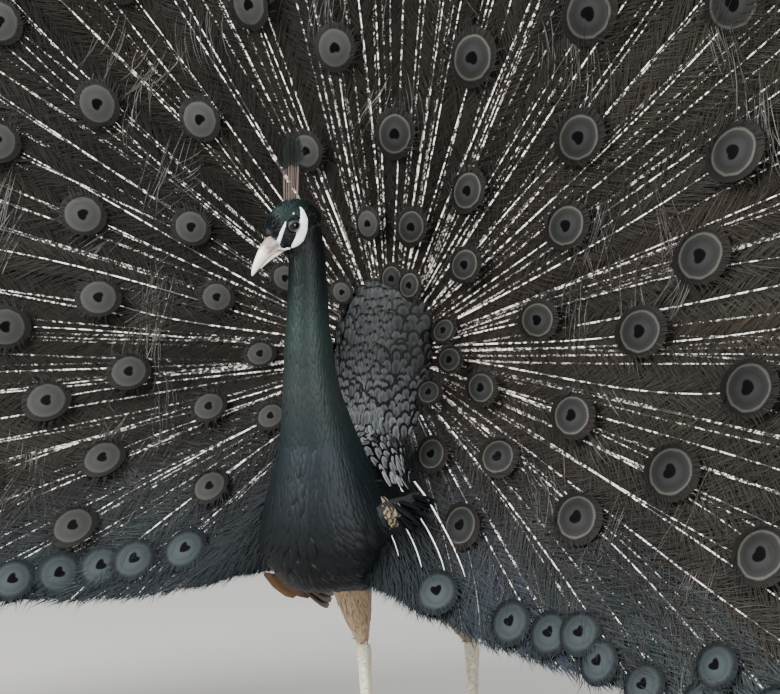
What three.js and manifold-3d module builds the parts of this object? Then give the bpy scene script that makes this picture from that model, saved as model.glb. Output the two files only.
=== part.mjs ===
// A life-size peacock in display, standing on its own two feet with its train raised in a fan.
// Millimetres, +Z up. The bird faces -Y and its left side is +X. It is modelled with the floor at z 0 and
// its body along x 0, and at the end the whole bird is moved so that its box stands centred on the origin.
import * as THREE from "three";
import { mergeVertices } from "three/addons/utils/BufferGeometryUtils.js";
import Module from "manifold-3d";

const wasm = await Module();
wasm.setup();

// Driving dimensions.
const CUT = 0.35; // gap left between pieces that touch
const FINENESS = 0.2; // edges that matter less than this are dropped
const HEAD = { at: [-7, -92, 600], turn: 35, pitch: 38 }; // turned to the bird's right, bill down, degrees
const EYE = { forward: 11, side: 15.6, up: 3.5, radius: 6.4 };
const CREST = { quills: 7, length: 65, from: -5, to: 5, base: [-8, 24.4], lean: 38 };
const FAN = {
  apex: [0, 100, 465], // the point that the train's feathers spread from
  roll: 4, // the fan leans to the bird's left, degrees
  spread: 166, // from the fan's middle to its lowest feathers
  sectorsPerSide: 5,
  feathersPerSector: [6, 6, 6, 5, 3],
  root: 48, // where the shells begin, inside the rump
};
// How long the feathers are at each angle from the fan's middle.
const RIM = [
  [0, 1180], [60, 1150], [90, 1080], [100, 1000], [108, 880], [114, 740], [120, 630], [128, 523], [134, 455],
  [140, 402], [150, 336], [160, 290], [166, 274],
];
// How far the feathers' tips lean forward at each angle, degrees.
const CURL = [[0, 6], [60, 12], [100, 23], [130, 32], [166, 45]];
const TAIL = { centre: [0, 150, 440], length: 425, spread: 106, feathersPerSide: 9 };
// The leg's places: ankle above the foot, hock, and where the thigh leaves the body.
const FOOT = { right: [2, 54, 8], left: [92, 118, 8] };
const HOCK = { right: [-16, 69, 149], left: [82, 136, 151] };
const HIP = { right: [-21, 34, 262], left: [44, 74, 262] };

const rad = THREE.MathUtils.degToRad;
const V = (x, y, z) => new THREE.Vector3(x, y, z);

// A value read off a list of stations by straight lines, eased at each station.
function along(stations, t) {
  const last = stations.length - 1;
  if (t >= stations[last][0]) return stations[last][1];
  const i = Math.max(0, stations.findIndex(([s]) => s > t) - 1);
  const [[t0, a], [t1, b]] = [stations[i], stations[i + 1]];
  const k = THREE.MathUtils.clamp((t - t0) / (t1 - t0), 0, 1);
  return THREE.MathUtils.lerp(a, b, THREE.MathUtils.lerp(k, k * k * (3 - 2 * k), 0.5));
}

// Moves each corner of a closed geometry to where the function puts it.
function moulded(geometry, place) {
  const corners = geometry.attributes.position;
  for (let i = 0; i < corners.count; i++) {
    const p = place(corners.getX(i), corners.getY(i), corners.getZ(i));
    corners.setXYZ(i, p.x, p.y, p.z);
  }
  return geometry;
}

// A closed skin over rings of equally many points: a cylinder of radius 1 whose rows go to the rings.
function loft(rings) {
  const n = rings[0].length;
  const last = rings.length - 1;
  const middles = rings.map((r) => r.reduce((sum, p) => sum.add(p), V(0, 0, 0)).divideScalar(n));
  return moulded(new THREE.CylinderGeometry(1, 1, 1, n, last), (x, y, z) => {
    const row = Math.round((0.5 - y) * last);
    if (Math.hypot(x, z) < 0.5) return middles[row];
    const column = Math.round((Math.atan2(x, z) / (2 * Math.PI)) * n + n) % n;
    return rings[row][column];
  });
}

// A ring of n points about a centre, with its two half axes as vectors.
const ring = (centre, u, v, n) =>
  Array.from({ length: n }, (_, i) => {
    const t = (2 * Math.PI * i) / n;
    return centre.clone().addScaledVector(u, Math.cos(t)).addScaledVector(v, Math.sin(t));
  });

// Level sections, each [height, middle's x, middle's y, half width, half depth], lowest first.
const levels = (sections, n, grow = 0) =>
  loft(sections.map(([z, x, y, a, b]) => ring(V(x, y, z), V(a + grow, 0, 0), V(0, b + grow, 0), n)));

// Upright sections, each [y, middle's z, half width, half height], front first.
const uprights = (sections, n, grow = 0) =>
  loft(sections.map(([y, z, a, b]) => ring(V(0, y, z), V(a + grow, 0, 0), V(0, 0, -b - grow), n).reverse()));

// A limb or quill through points, each with its radius.
function limb(stops, n) {
  const centres = stops.map(([p]) => p);
  const rings = stops.map(([p, r], i) => {
    const ahead = centres[Math.min(i + 1, centres.length - 1)].clone();
    const way = ahead.sub(centres[Math.max(i - 1, 0)]).normalize();
    const side = V(1, 0, 0).cross(way).lengthSq() > 0.05 ? V(1, 0, 0) : V(0, 1, 0);
    const v = way.clone().cross(side).normalize();
    const u = v.clone().cross(way);
    return ring(p, u.multiplyScalar(r), v.multiplyScalar(r), n);
  });
  return loft(rings);
}

// Turns a three.js geometry into a solid for cutting and joining, and back.
function solid(geometry, matrix = null) {
  const g = geometry.clone();
  if (matrix) g.applyMatrix4(matrix);
  g.deleteAttribute("normal");
  g.deleteAttribute("uv");
  const m = mergeVertices(g, 1e-4);
  const made = new wasm.Manifold(
    new wasm.Mesh({
      numProp: 3,
      vertProperties: m.attributes.position.array,
      triVerts: new Uint32Array(m.index.array),
    }),
  );
  return made.volume() < 0 ? solid(flipped(m)) : made;
}

function flipped(geometry) {
  const g = geometry.clone();
  g.setIndex(Array.from(geometry.index.array).reverse());
  return g;
}

function geometryOf(s) {
  const m = s.getMesh();
  const g = new THREE.BufferGeometry();
  const places = new Float32Array(m.numVert * 3);
  for (let i = 0; i < m.numVert; i++)
    places.set(m.vertProperties.subarray(i * m.numProp, i * m.numProp + 3), i * 3);
  g.setAttribute("position", new THREE.BufferAttribute(places, 3));
  g.setIndex(new THREE.BufferAttribute(m.triVerts, 1));
  g.computeVertexNormals();
  return g;
}

// A box between two corners, used to part the bird with thin cuts.
function block(low, high) {
  const size = V(...high).sub(V(...low));
  const g = new THREE.BoxGeometry(size.x, size.y, size.z);
  g.translate(...V(...low).addScaledVector(size, 0.5).toArray());
  return solid(g);
}
const FAR = 3000;
const above = (z) => block([-FAR, -FAR, z + CUT / 2], [FAR, FAR, FAR]);
const below = (z) => block([-FAR, -FAR, -FAR], [FAR, FAR, z - CUT / 2]);
const behind = (y) => block([-FAR, y + CUT / 2, -FAR], [FAR, FAR, FAR]);
const before = (y) => block([-FAR, -FAR, -FAR], [FAR, y - CUT / 2, FAR]);

// Keeps only the largest of the pieces that a cut leaves.
const largest = (s) => s.decompose().reduce((a, b) => (a.volume() > b.volume() ? a : b));

const bird = new THREE.Group();
const looks = {
  plume: { color: 0x24403f, roughness: 0.55 },
  dark: { color: 0x20201f, roughness: 0.8 },
  scale: { color: 0x5a5a60, roughness: 0.6 },
  train: { color: 0x3a3532, roughness: 0.75 },
  tail: { color: 0x453a33, roughness: 0.8 },
  barred: { color: 0x8b7c62, roughness: 0.8 },
  rufous: { color: 0x8a5a3a, roughness: 0.75 },
  buff: { color: 0xb08d72, roughness: 0.85 },
  bare: { color: 0xa9a595, roughness: 0.6 },
  horn: { color: 0xd6cbc0, roughness: 0.45 },
  eye: { color: 0x140f0d, roughness: 0.08 },
};
function add(name, shape, look) {
  const geometry = geometryOf(shape.simplify(FINENESS));
  const mesh = new THREE.Mesh(geometry, new THREE.MeshStandardMaterial(looks[look]));
  mesh.name = name;
  bird.add(mesh);
}

// Body: the neck and breast as level sections, and the trunk as upright ones.
const NECK_SECTIONS = [
  [214, 0, -34, 34, 36], [224, 0, -38, 52, 50], [244, 0, -42, 66, 62], [272, 0, -44, 72.5, 66],
  [300, 0, -47, 69, 64], [326, 0, -50, 61.5, 59], [352, 0, -52, 51.5, 53], [378, 0, -56, 42.5, 46],
  [404, 0, -65, 36, 40], [432, 0, -74, 31, 34], [464, 0, -79, 27, 29.5], [498, 0, -81, 23.5, 25.5],
  [536, 0, -81, 21.3, 23.5], [568, -1, -81, 20, 22.5], [596, -2, -84, 18, 21],
];
const TRUNK_SECTIONS = [
  [-96, 284, 38, 40], [-88, 284, 52, 50], [-62, 284, 66, 60], [-28, 288, 73, 66], [10, 297, 73, 75],
  [50, 309, 66, 81], [90, 323, 54, 77], [125, 338, 41, 65], [152, 352, 28, 48], [168, 358, 14, 24],
];
// The saddle and rump, raised upright behind the neck: the shield of scaled feathers, and the train's root.
const SADDLE_SECTIONS = [
  [300, 0, 60, 32, 30], [340, 0, 66, 46, 37], [380, 0, 73, 56, 41], [420, 0, 80, 62, 42],
  [460, 0, 86, 64, 39], [495, 0, 91, 61, 33], [522, 0, 95, 52, 25], [542, 0, 98, 37, 16],
  [553, 0, 100, 16, 7],
];
const ROUND = 18;
const neckSolid = solid(levels(NECK_SECTIONS, ROUND));
const trunkSolid = solid(uprights(TRUNK_SECTIONS, ROUND));
const saddleSolid = solid(levels(SADDLE_SECTIONS, ROUND));
const saddleCut = solid(levels(SADDLE_SECTIONS, ROUND, CUT));
const trunkCut = solid(uprights(TRUNK_SECTIONS, ROUND, CUT));
const bodyCut = trunkCut.add(solid(levels(NECK_SECTIONS, ROUND, CUT)));

// Head, in its own frame: x forward along the bill, y to the bird's left, z up.
const headFrame = new THREE.Matrix4()
  .makeTranslation(...HEAD.at)
  .multiply(new THREE.Matrix4().makeRotationZ(rad(-90 - HEAD.turn)))
  .multiply(new THREE.Matrix4().makeRotationY(rad(HEAD.pitch)));
// Each [forward, middle's height, half width, half height].
const HEAD_SECTIONS = [
  [-27, -4, 6, 7], [-23, -3.2, 11.2, 13.8], [-16.5, -1.6, 15.2, 19.2], [-8, 0, 18, 23.4],
  [0, 1, 19.8, 26.2], [10, 1.8, 19.5, 26.8], [19, 1.7, 17.7, 24.3], [27, 0.6, 15.3, 20.9],
  [33, -1.5, 12.9, 16.7], [37.5, -3.9, 10.3, 13],
];
const UPPER_BILL = [
  [26, -3, 10, 9], [37, -0.4, 9, 8.9], [45, -1.2, 7.6, 7.6], [52, -3, 6.2, 6.4],
  [58.5, -5.2, 4.8, 5.2], [64.5, -7.8, 3.4, 4.1], [70.5, -10.6, 1.9, 2.6], [74, -12.6, 0.6, 0.8],
];
const LOWER_BILL = [
  [24, -14.6, 10, 4.6], [36, -13, 7.6, 4.3], [46, -11.6, 5.8, 3.6], [56, -12.4, 4.2, 2.5], [65, -14, 2.2, 1.2],
];
const lengthwise = (sections, n, grow = 0) =>
  loft(sections.map(([f, c, w, h]) => ring(V(f, 0, c), V(0, w + grow, 0), V(0, 0, h + grow), n)));
const SIDES = { head: 16, upper: 12, lower: 10 };
const headSolid = (grow = 0) => solid(lengthwise(HEAD_SECTIONS, SIDES.head, grow), headFrame);
const upperBill = (grow = 0) => solid(lengthwise(UPPER_BILL, SIDES.upper, grow), headFrame);
const lowerBill = (grow = 0) => solid(lengthwise(LOWER_BILL, SIDES.lower, grow), headFrame);
const eyeball = (side, grow = 0) => {
  const g = new THREE.SphereGeometry(EYE.radius + grow, 10, 7);
  g.translate(EYE.forward, side * EYE.side, EYE.up);
  return solid(g, headFrame);
};
const sockets = eyeball(1, CUT).add(eyeball(-1, CUT));
add("head", largest(headSolid().subtract(upperBill(CUT)).subtract(lowerBill(CUT)).subtract(sockets)), "plume");
add("upper_bill", upperBill(), "horn");
add("lower_bill", largest(lowerBill().subtract(upperBill(CUT))), "horn");
add("eye_left", eyeball(1), "eye");
add("eye_right", eyeball(-1), "eye");

// Crest: a fan of bare quills in the head's middle plane, each ending in a small flat vane.
function crest() {
  const [f0, u0] = CREST.base;
  const quills = Array.from({ length: CREST.quills }, (_, i) => {
    const part = i / (CREST.quills - 1);
    const a = rad(THREE.MathUtils.lerp(CREST.from, CREST.to, part) + CREST.lean);
    const length = CREST.length * (0.9 + 0.1 * Math.sin(Math.PI * part));
    const foot = V(f0 - 15 * (part - 0.5), 0, u0 - 8 * (part - 0.5) - 1.4);
    const at = (s) => foot.clone().add(V(-Math.sin(a) * s, 0, Math.cos(a) * s));
    const stem = [[at(0), 1], [at(length * 0.78), 0.7], [at(length * 0.88), 2.8], [at(length), 0.7]];
    return solid(limb(stem, 4), headFrame);
  });
  const pad = solid(limb([[V(f0 - 8.5, 0, u0 - 5.6), 2.3], [V(f0 + 8.5, 0, u0 + 2.4), 2.3]], 8), headFrame);
  return wasm.Manifold.union([pad, ...quills]);
}
add("crest", largest(crest().subtract(headSolid(CUT))), "horn");

// Neck and breast, parted by thin level cuts, and the trunk behind them.
const NECK_CUTS = [350, 465];
const NAPE = -20; // the neck's pieces stay before this y, the body's lie behind it
const BREAST_BACK = -30;
const SADDLE_BACK = 96;
const body = neckSolid.add(trunkSolid).subtract(headSolid(CUT)).subtract(saddleCut);
const lowerNeck = body.intersect(below(NECK_CUTS[1])).intersect(above(NECK_CUTS[0])).intersect(before(NAPE));
const torso = body.subtract(block([-FAR, -FAR, NECK_CUTS[0] - CUT / 2], [FAR, NAPE + CUT / 2, FAR]));
add("neck_upper", largest(body.intersect(above(NECK_CUTS[1]))), "plume");
add("neck_lower", largest(lowerNeck), "plume");
add("breast", largest(torso.intersect(before(BREAST_BACK))), "plume");
add("trunk", largest(torso.intersect(behind(BREAST_BACK))), "dark");
add("saddle", largest(saddleSolid.intersect(before(SADDLE_BACK))), "scale");
add("rump", largest(saddleSolid.intersect(behind(SADDLE_BACK)).subtract(trunkCut)), "dark");

// Where a feather of the fan is at a distance from the apex and an angle from the fan's middle.
function fanPoint(distance, angle, back = 0, apex = FAN.apex) {
  const size = Math.abs(angle);
  const lean = rad(along(CURL, size)) * (0.5 + (0.5 * distance) / RIM[0][1]);
  const bearing = rad(angle + FAN.roll);
  const flat = distance * Math.cos(lean);
  return V(
    apex[0] + flat * Math.sin(bearing),
    apex[1] - distance * Math.sin(lean) + back,
    apex[2] + flat * Math.cos(bearing),
  );
}

// A scalloped shell of feathers, pleated along each of them, from one angle of the fan to another: a thin
// box whose columns run along the feathers and whose rows, given as parts of their length, run across them.
function feathers({ from, to, count, perFeather, rows, rim, scallop, ridge, thickness, place }) {
  const columns = count * perFeather;
  const box = new THREE.BoxGeometry(1, 1, 1, columns, rows.length - 1, 1);
  return solid(moulded(box, (x, y, z) => {
    const column = Math.round((x + 0.5) * columns);
    const row = rows[Math.round((y + 0.5) * (rows.length - 1))];
    const across = ((column % perFeather) / perFeather) * 2 - 1;
    const bulge = 1 - across * across;
    const middle = THREE.MathUtils.lerp(from, to, column / columns);
    const reach = rim(middle) - scallop * (1 - bulge);
    const r = FAN.root + (reach - FAN.root) * row;
    const edge = column === 0 ? 1 : column === columns ? -1 : 0;
    const trim = THREE.MathUtils.radToDeg(CUT / 2 / r) * edge * Math.sign(to - from);
    const half = THREE.MathUtils.lerp(thickness[0], thickness[1], Math.sqrt(row)) / 2;
    const pleat = ridge * bulge * Math.min(1, row * 3);
    return place(r, middle + trim, Math.sign(z) * half - pleat);
  }));
}

// Wings, folded along the flanks and lowered: the coverts, and below and behind them the flight feathers.
// Each [y, middle's z, half height, distance of the middle from the bird's middle plane].
const WING_SECTIONS = [
  [-54, 300, 10, 64], [-34, 294, 24, 71], [0, 288, 36, 77], [50, 284, 44, 78],
  [100, 288, 38, 70], [140, 296, 20, 58],
];
const WING_DEPTH = 10;
const FLIGHT = { count: 4, length: 215, root: [87, -12, 270], drop: 40, slope: 8, width: 15, thickness: 2 };
function wing(side, grow = 0) {
  const rings = WING_SECTIONS.map(([y, z, h, out]) =>
    ring(V(side * out, y, z), V(side * (WING_DEPTH + grow), 0, 0), V(0, 0, side * (h + grow)), 14),
  );
  return solid(loft(rings));
}
function flightFeathers(side, grow = 0) {
  const [x0, y0, z0] = FLIGHT.root;
  const vanes = Array.from({ length: FLIGHT.count }, (_, i) => {
    const part = i / (FLIGHT.count - 1);
    const a = rad(FLIGHT.slope * part);
    const length = FLIGHT.length * (1 - 0.3 * part);
    const flat = FLIGHT.thickness + grow;
    const section = (s, w) => {
      const at = V(side * (x0 + 0.03 * s), y0 + Math.cos(a) * s, z0 - FLIGHT.drop * part - Math.sin(a) * s);
      const wide = side * (w + grow);
      return ring(at, V(side * flat, 0, 0), V(0, wide * Math.sin(a), wide * Math.cos(a)), 6);
    };
    const width = FLIGHT.width;
    const [near, far] = [section(length * 0.5, width), section(length * 0.85, width * 0.8)];
    return solid(loft([section(-grow, width * 0.6), near, far, section(length + grow, 3)]));
  });
  return wasm.Manifold.union(vanes);
}
const flanks = bodyCut.add(saddleCut);
const wingCuts = {};
for (const [name, side] of [["left", 1], ["right", -1]]) {
  add(`wing_${name}`, largest(wing(side).subtract(flanks)), "barred");
  const wingCut = wing(side, CUT);
  add(`primaries_${name}`, largest(flightFeathers(side).subtract(wingCut).subtract(flanks)), "rufous");
  wingCuts[name] = wingCut.add(flightFeathers(side, CUT));
}

// Train: five sectors of long feathers on each side of the bird, passing outside the wings.
const SECTOR = FAN.spread / FAN.sectorsPerSide;
for (const [name, side] of [["left", 1], ["right", -1]]) {
  for (let i = 0; i < FAN.sectorsPerSide; i++) {
    const sector = feathers({
      from: side * SECTOR * i,
      to: side * SECTOR * (i + 1),
      count: FAN.feathersPerSector[i],
      perFeather: 3,
      rows: [0, 0.3, 0.93, 1],
      rim: (a) => along(RIM, Math.abs(a)),
      scallop: 34,
      ridge: 3.5,
      thickness: [5, 1.3],
      place: (r, a, back) => fanPoint(r, a, back),
    });
    add(`train_${name}_${i + 1}`, largest(sector.subtract(flanks).subtract(wingCuts[name])), "train");
  }
}

// Tail: the stiff brown feathers behind the train that hold it up.
for (const [name, side] of [["left", 1], ["right", -1]]) {
  const tail = feathers({
    from: 0,
    to: side * TAIL.spread,
    count: TAIL.feathersPerSide,
    perFeather: 2,
    rows: [0, 0.9, 1],
    rim: () => TAIL.length,
    scallop: 16,
    ridge: 1.5,
    thickness: [10, 2],
    place: (r, a, back) => fanPoint(r, a, back, TAIL.centre),
  });
  add(`tail_${name}`, largest(tail.subtract(saddleCut)), "tail");
}

// Legs: feathered thigh, bare shank with its spur, and a foot of four toes with claws.
const TOES = [
  { name: "inner", turn: -36, length: 56 },
  { name: "middle", turn: 2, length: 74 },
  { name: "outer", turn: 38, length: 60 },
  { name: "hind", turn: 176, length: 27 },
];
const FOOT_TOP = 14;
const floor = above(-CUT / 2);
const mix = (a, b, t) => a.clone().lerp(b, t);
const lifted = (p, z) => p.clone().setZ(z);
for (const [name, side] of [["left", 1], ["right", -1]]) {
  const [foot, hock, hip] = [V(...FOOT[name]), V(...HOCK[name]), V(...HIP[name])];
  const drum = [[hip, 32], [mix(hip, hock, 0.35), 26.5], [mix(hip, hock, 0.7), 18.5], [mix(hip, hock, 0.97), 9.8]];
  const thigh = solid(limb(drum, 14)).subtract(flanks).subtract(wingCuts[name]);
  const shank = (grow) =>
    solid(limb([
      [mix(hip, hock, 0.985 - grow / 50), 8.4 + grow],
      [mix(hock, foot, 0.06), 8.6 + grow],
      [mix(hock, foot, 0.2), 7.2 + grow],
      [mix(hock, foot, 0.75), 6.6 + grow],
      [lifted(foot, 4), 7.6 + grow],
    ], 10));
  add(`thigh_${name}`, largest(thigh.subtract(shank(CUT))), "buff");
  add(`shank_${name}`, largest(shank(0).intersect(above(FOOT_TOP + CUT))), "bare");
  const spurRoot = mix(hock, foot, 0.68);
  const spurTip = spurRoot.clone().add(V(-side * 6, 20, 5));
  const horn = [[mix(spurRoot, spurTip, 0.1), 4], [mix(spurRoot, spurTip, 0.6), 2.6], [spurTip, 0.7]];
  const spur = solid(limb(horn, 7));
  add(`spur_${name}`, largest(spur.subtract(shank(CUT))), "horn");
  const toes = TOES.map((toe) => {
    const heading = rad(-90 + side * toe.turn);
    const at = (s, z) => lifted(foot, z).add(V(Math.cos(heading) * s, Math.sin(heading) * s, 0));
    const joints = [[at(-3, 6), 5], [at(toe.length * 0.5, 4), 4.9], [at(toe.length, 3.5), 3.6]];
    const claw = (grow) => [
      [at(toe.length - 2 - grow, 4), 2.8 + grow],
      [at(toe.length + 7, 4.2), 2.2 + grow],
      [at(toe.length + 15, 1.6), 0.7 + grow],
    ];
    const shell = (grow) => limb(joints.map(([p, r]) => [p, r + grow]), 6);
    return { name: toe.name, toe: shell(0), toeCut: solid(shell(CUT)), claw: solid(limb(claw(0), 5)) };
  });
  const ankle = limb([[lifted(foot, 1), 8], [lifted(foot, 8), 8.4], [lifted(foot, FOOT_TOP), 6.2]], 10);
  const whole = wasm.Manifold.union([solid(ankle), ...toes.map((t) => solid(t.toe))]);
  add(`foot_${name}`, whole.intersect(floor), "bare");
  for (const t of toes) add(`claw_${name}_${t.name}`, largest(t.claw.subtract(t.toeCut).intersect(floor)), "horn");
}

// The origin is the middle of the whole bird's box, at the floor.
const box = new THREE.Box3().setFromObject(bird);
const middle = box.getCenter(V(0, 0, 0));
bird.position.set(-middle.x, -middle.y, -box.min.z);

export default bird;
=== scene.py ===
import math

import bmesh
import bpy
import numpy as np
from mathutils import Matrix, Vector
from mathutils.bvhtree import BVHTree


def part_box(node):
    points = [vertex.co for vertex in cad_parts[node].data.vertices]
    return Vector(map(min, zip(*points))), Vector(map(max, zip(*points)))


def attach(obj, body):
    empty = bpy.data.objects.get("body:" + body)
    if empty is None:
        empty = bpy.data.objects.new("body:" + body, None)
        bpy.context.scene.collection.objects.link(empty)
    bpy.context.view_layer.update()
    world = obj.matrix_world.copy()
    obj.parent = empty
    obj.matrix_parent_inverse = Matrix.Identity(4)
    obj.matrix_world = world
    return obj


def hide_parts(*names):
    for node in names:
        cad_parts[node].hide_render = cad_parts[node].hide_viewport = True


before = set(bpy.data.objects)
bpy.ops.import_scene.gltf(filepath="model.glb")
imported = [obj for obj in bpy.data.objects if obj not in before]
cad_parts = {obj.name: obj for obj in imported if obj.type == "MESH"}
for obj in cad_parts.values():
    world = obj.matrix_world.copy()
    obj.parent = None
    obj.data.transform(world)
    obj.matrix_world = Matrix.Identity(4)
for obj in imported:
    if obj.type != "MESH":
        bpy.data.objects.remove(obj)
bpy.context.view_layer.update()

# ---- Stance ----
# The bird is measured in millimetres in a frame of its own: the floor is z = 0, its breast faces
# -Y, its left side is +X. Its head is turned to its right and bent down, and its eyes tell where
# the frame lies.
HEAD_AT = (-7, -92, 600)
HEAD_TURN = 35
HEAD_PITCH = 38
EYE_AT = (11, 15.6, 3.5)
EYE_RADIUS = 6.4
SIDES = (("left", 1), ("right", -1))

head_frame = (
    Matrix.Translation(HEAD_AT)
    @ Matrix.Rotation(math.radians(-90 - HEAD_TURN), 4, "Z")
    @ Matrix.Rotation(math.radians(HEAD_PITCH), 4, "Y")
)
head_turned = np.array(head_frame.to_3x3())
eye_low, eye_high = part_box("eye_left")
shift = (eye_low + eye_high) / 2 - (head_frame @ Vector(EYE_AT)) / 1000
shift.z = 0
SHIFT = np.array(shift)


def metres(points):
    """Points of the bird's own frame, in the part's frame."""
    return np.asarray(points, float) / 1000 + SHIFT


def millimetres(points):
    """Points of the part's frame, in the bird's own."""
    return (np.asarray(points, float) - SHIFT) * 1000


def in_head(points):
    """Points forward, left and up from the middle of the head, in the bird's own frame."""
    return np.asarray(points, float) @ head_turned.T + np.array(HEAD_AT)


def to_head(points):
    """Points of the bird's own frame, forward, left and up from the middle of the head."""
    return (np.asarray(points, float) - np.array(HEAD_AT)) @ head_turned


# ---- Camera ----
# It stands three metres off to the bird's left front and looks level at the height of its breast.
# Its long lens frames the whole fan.
VIEW_TURN = math.radians(28)
VIEW_DISTANCE = 3050
VIEW_MIDDLE = 100
VIEW_HEIGHT = 472
VIEW_LENS = 129.23

camera = bpy.data.objects.new("camera", bpy.data.cameras.new("camera"))
camera.data.lens = VIEW_LENS
camera.location = metres(
    [
        VIEW_DISTANCE * math.sin(VIEW_TURN),
        VIEW_MIDDLE - VIEW_DISTANCE * math.cos(VIEW_TURN),
        VIEW_HEIGHT,
    ]
)
camera.rotation_euler = (math.radians(90), 0, VIEW_TURN)
bpy.context.scene.collection.objects.link(camera)
bpy.context.scene.camera = camera


# ---- Floor ----
# A studio floor of white-painted board that runs far behind the bird. The matt paint is rolled on,
# which leaves a faint soft mottle.
def linear(code):
    """A colour written as six sRGB hex figures, as linear red, green, blue and alpha."""
    parts = [int(code[i : i + 2], 16) / 255 for i in (0, 2, 4)]
    bent = [p / 12.92 if p <= 0.04045 else ((p + 0.055) / 1.055) ** 2.4 for p in parts]
    return (*bent, 1)


def add_node(material, kind, inputs=None, output=0, **settings):
    """One output of a new node of a material, with its values, its links and its settings."""
    new = material.node_tree.nodes.new("ShaderNode" + kind)
    for name, value in settings.items():
        setattr(new, name, value)
    for name, value in (inputs or {}).items():
        if isinstance(value, bpy.types.NodeSocket):
            material.node_tree.links.new(value, new.inputs[name])
        else:
            new.inputs[name].default_value = value
    return new.outputs[output]


def shaded(name, **values):
    """A new material, with values set on the shader's own sockets."""
    material = bpy.data.materials.new(name)
    material.use_nodes = True
    for socket, value in values.items():
        shader = material.node_tree.nodes["Principled BSDF"]
        shader.inputs[socket.replace("_", " ")].default_value = value
    return material


def feed(material, **sources):
    """Links nodes' outputs to the shader's sockets."""
    shader = material.node_tree.nodes["Principled BSDF"]
    for socket, source in sources.items():
        material.node_tree.links.new(source, shader.inputs[socket.replace("_", " ")])


FLOOR_SIDE = 60

floor_paint = shaded("white_painted_board", Roughness=0.8)
where = add_node(floor_paint, "TexCoord", output="Object")
mottle = add_node(floor_paint, "TexNoise", {"Vector": where, "Scale": 3, "Detail": 2})
shades = {0: mottle, 6: linear("b2b0ac"), 7: linear("bab8b4")}
feed(floor_paint, Base_Color=add_node(floor_paint, "Mix", shades, 2, data_type="RGBA"))

shape = bmesh.new()
bmesh.ops.create_grid(shape, x_segments=1, y_segments=1, size=FLOOR_SIDE / 2)
mesh = bpy.data.meshes.new("floor")
shape.to_mesh(mesh)
floor = bpy.data.objects.new("floor", mesh)
bpy.context.scene.collection.objects.link(floor)
mesh.materials.append(floor_paint)

# ---- Light ----
# A pale room lights the bird from all round. A large soft lamp hangs high to the camera's left, and
# a weaker one stands to its right.
LAMPS = (
    ("key_lamp", (-1.6, -2.9, 2.6), 1.4, 365),
    ("fill_lamp", (3.2, -2.0, 1.6), 2.0, 203),
)
LIT_PLACE = Vector((0, 0, 0.5))
ROOM_SHADE = "d9dadb"
ROOM_STRENGTH = 1.6

world = bpy.data.worlds.new("studio")
world.use_nodes = True
world.node_tree.nodes["Background"].inputs["Color"].default_value = linear(ROOM_SHADE)
world.node_tree.nodes["Background"].inputs["Strength"].default_value = ROOM_STRENGTH
bpy.context.scene.world = world

for name, place, size, power in LAMPS:
    light = bpy.data.lights.new(name, "AREA")
    light.size = size
    light.energy = power
    holder = bpy.data.objects.new(name, light)
    holder.location = place
    holder.rotation_euler = (LIT_PLACE - Vector(place)).to_track_quat("-Z", "Y").to_euler()
    bpy.context.scene.collection.objects.link(holder)

# ---- Skin ----
# One skin over head, neck, body and thighs. On the living bird it is thin and hidden by feathers,
# so it lies inside their outer surface by the depth of the coat, and takes the colour of the
# plumage over it.
COAT_DEPTH = {
    "head": 1.6,
    "neck_upper": 2.2,
    "neck_lower": 3,
    "breast": 4.5,
    "trunk": 5,
    "saddle": 5,
}
COAT_DEPTH |= {"rump": 5, "wing_left": 4, "wing_right": 4, "thigh_left": 4, "thigh_right": 4}
FLESH = list(COAT_DEPTH)
PLUMAGE_HEIGHTS = [215, 270, 330, 380, 430, 500, 550, 585]
PLUMAGE = ["06090b", "080d10", "10171c", "1a2428", "28302f", "1f2d2a", "0a1615", "070d0e"]
SOOTY = ["090d0f", "0b0c0c", "1a1714", "383029"]
SKIN_GRAIN = 0.0031
SKIN_ROUNDS = 8
DEPTH_ROUNDS = 12


def new_piece(name, mesh, material, replaces=()):
    """A finished piece of the bird: its material and the nodes it stands for."""
    piece = bpy.data.objects.new(name, mesh)
    bpy.context.scene.collection.objects.link(piece)
    mesh.shade_smooth()
    mesh.materials.append(material)
    if replaces:
        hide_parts(*replaces)
    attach(piece, "root")
    return piece


def moulded(name, nodes, grain, rounds):
    """A smooth even mesh over the merged solids of some nodes."""
    merged = bmesh.new()
    for node in nodes:
        merged.from_mesh(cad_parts[node].data)
    bmesh.ops.remove_doubles(merged, verts=merged.verts, dist=1e-5)
    source = bpy.data.meshes.new("solids")
    merged.to_mesh(source)
    holder = bpy.data.objects.new("solids", source)
    bpy.context.scene.collection.objects.link(holder)
    remesh = holder.modifiers.new("even", "REMESH")
    remesh.mode = "VOXEL"
    remesh.voxel_size = grain
    soften = holder.modifiers.new("soften", "SMOOTH")
    soften.iterations = rounds
    soften.factor = 0.5
    graph = bpy.context.evaluated_depsgraph_get()
    mesh = bpy.data.meshes.new_from_object(holder.evaluated_get(graph))
    bpy.data.objects.remove(holder)
    bpy.data.meshes.remove(source)
    mesh.name = name
    mesh.materials.clear()
    return mesh


def numbers(items, field, width, kind=np.float32):
    """A field of every item of a mesh collection, as rows of some numbers."""
    found = np.zeros(len(items) * width, kind)
    items.foreach_get(field, found)
    return found.reshape(-1, width)


def vectors(items, field):
    """A field of three numbers of every item of a mesh collection."""
    return numbers(items, field, 3).astype(float)


def placed(mesh, corners):
    """Moves a mesh's corners."""
    mesh.vertices.foreach_set("co", corners.astype(np.float32).ravel())
    mesh.update()


skin_mesh = moulded("skin", FLESH, SKIN_GRAIN, SKIN_ROUNDS)

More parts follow.
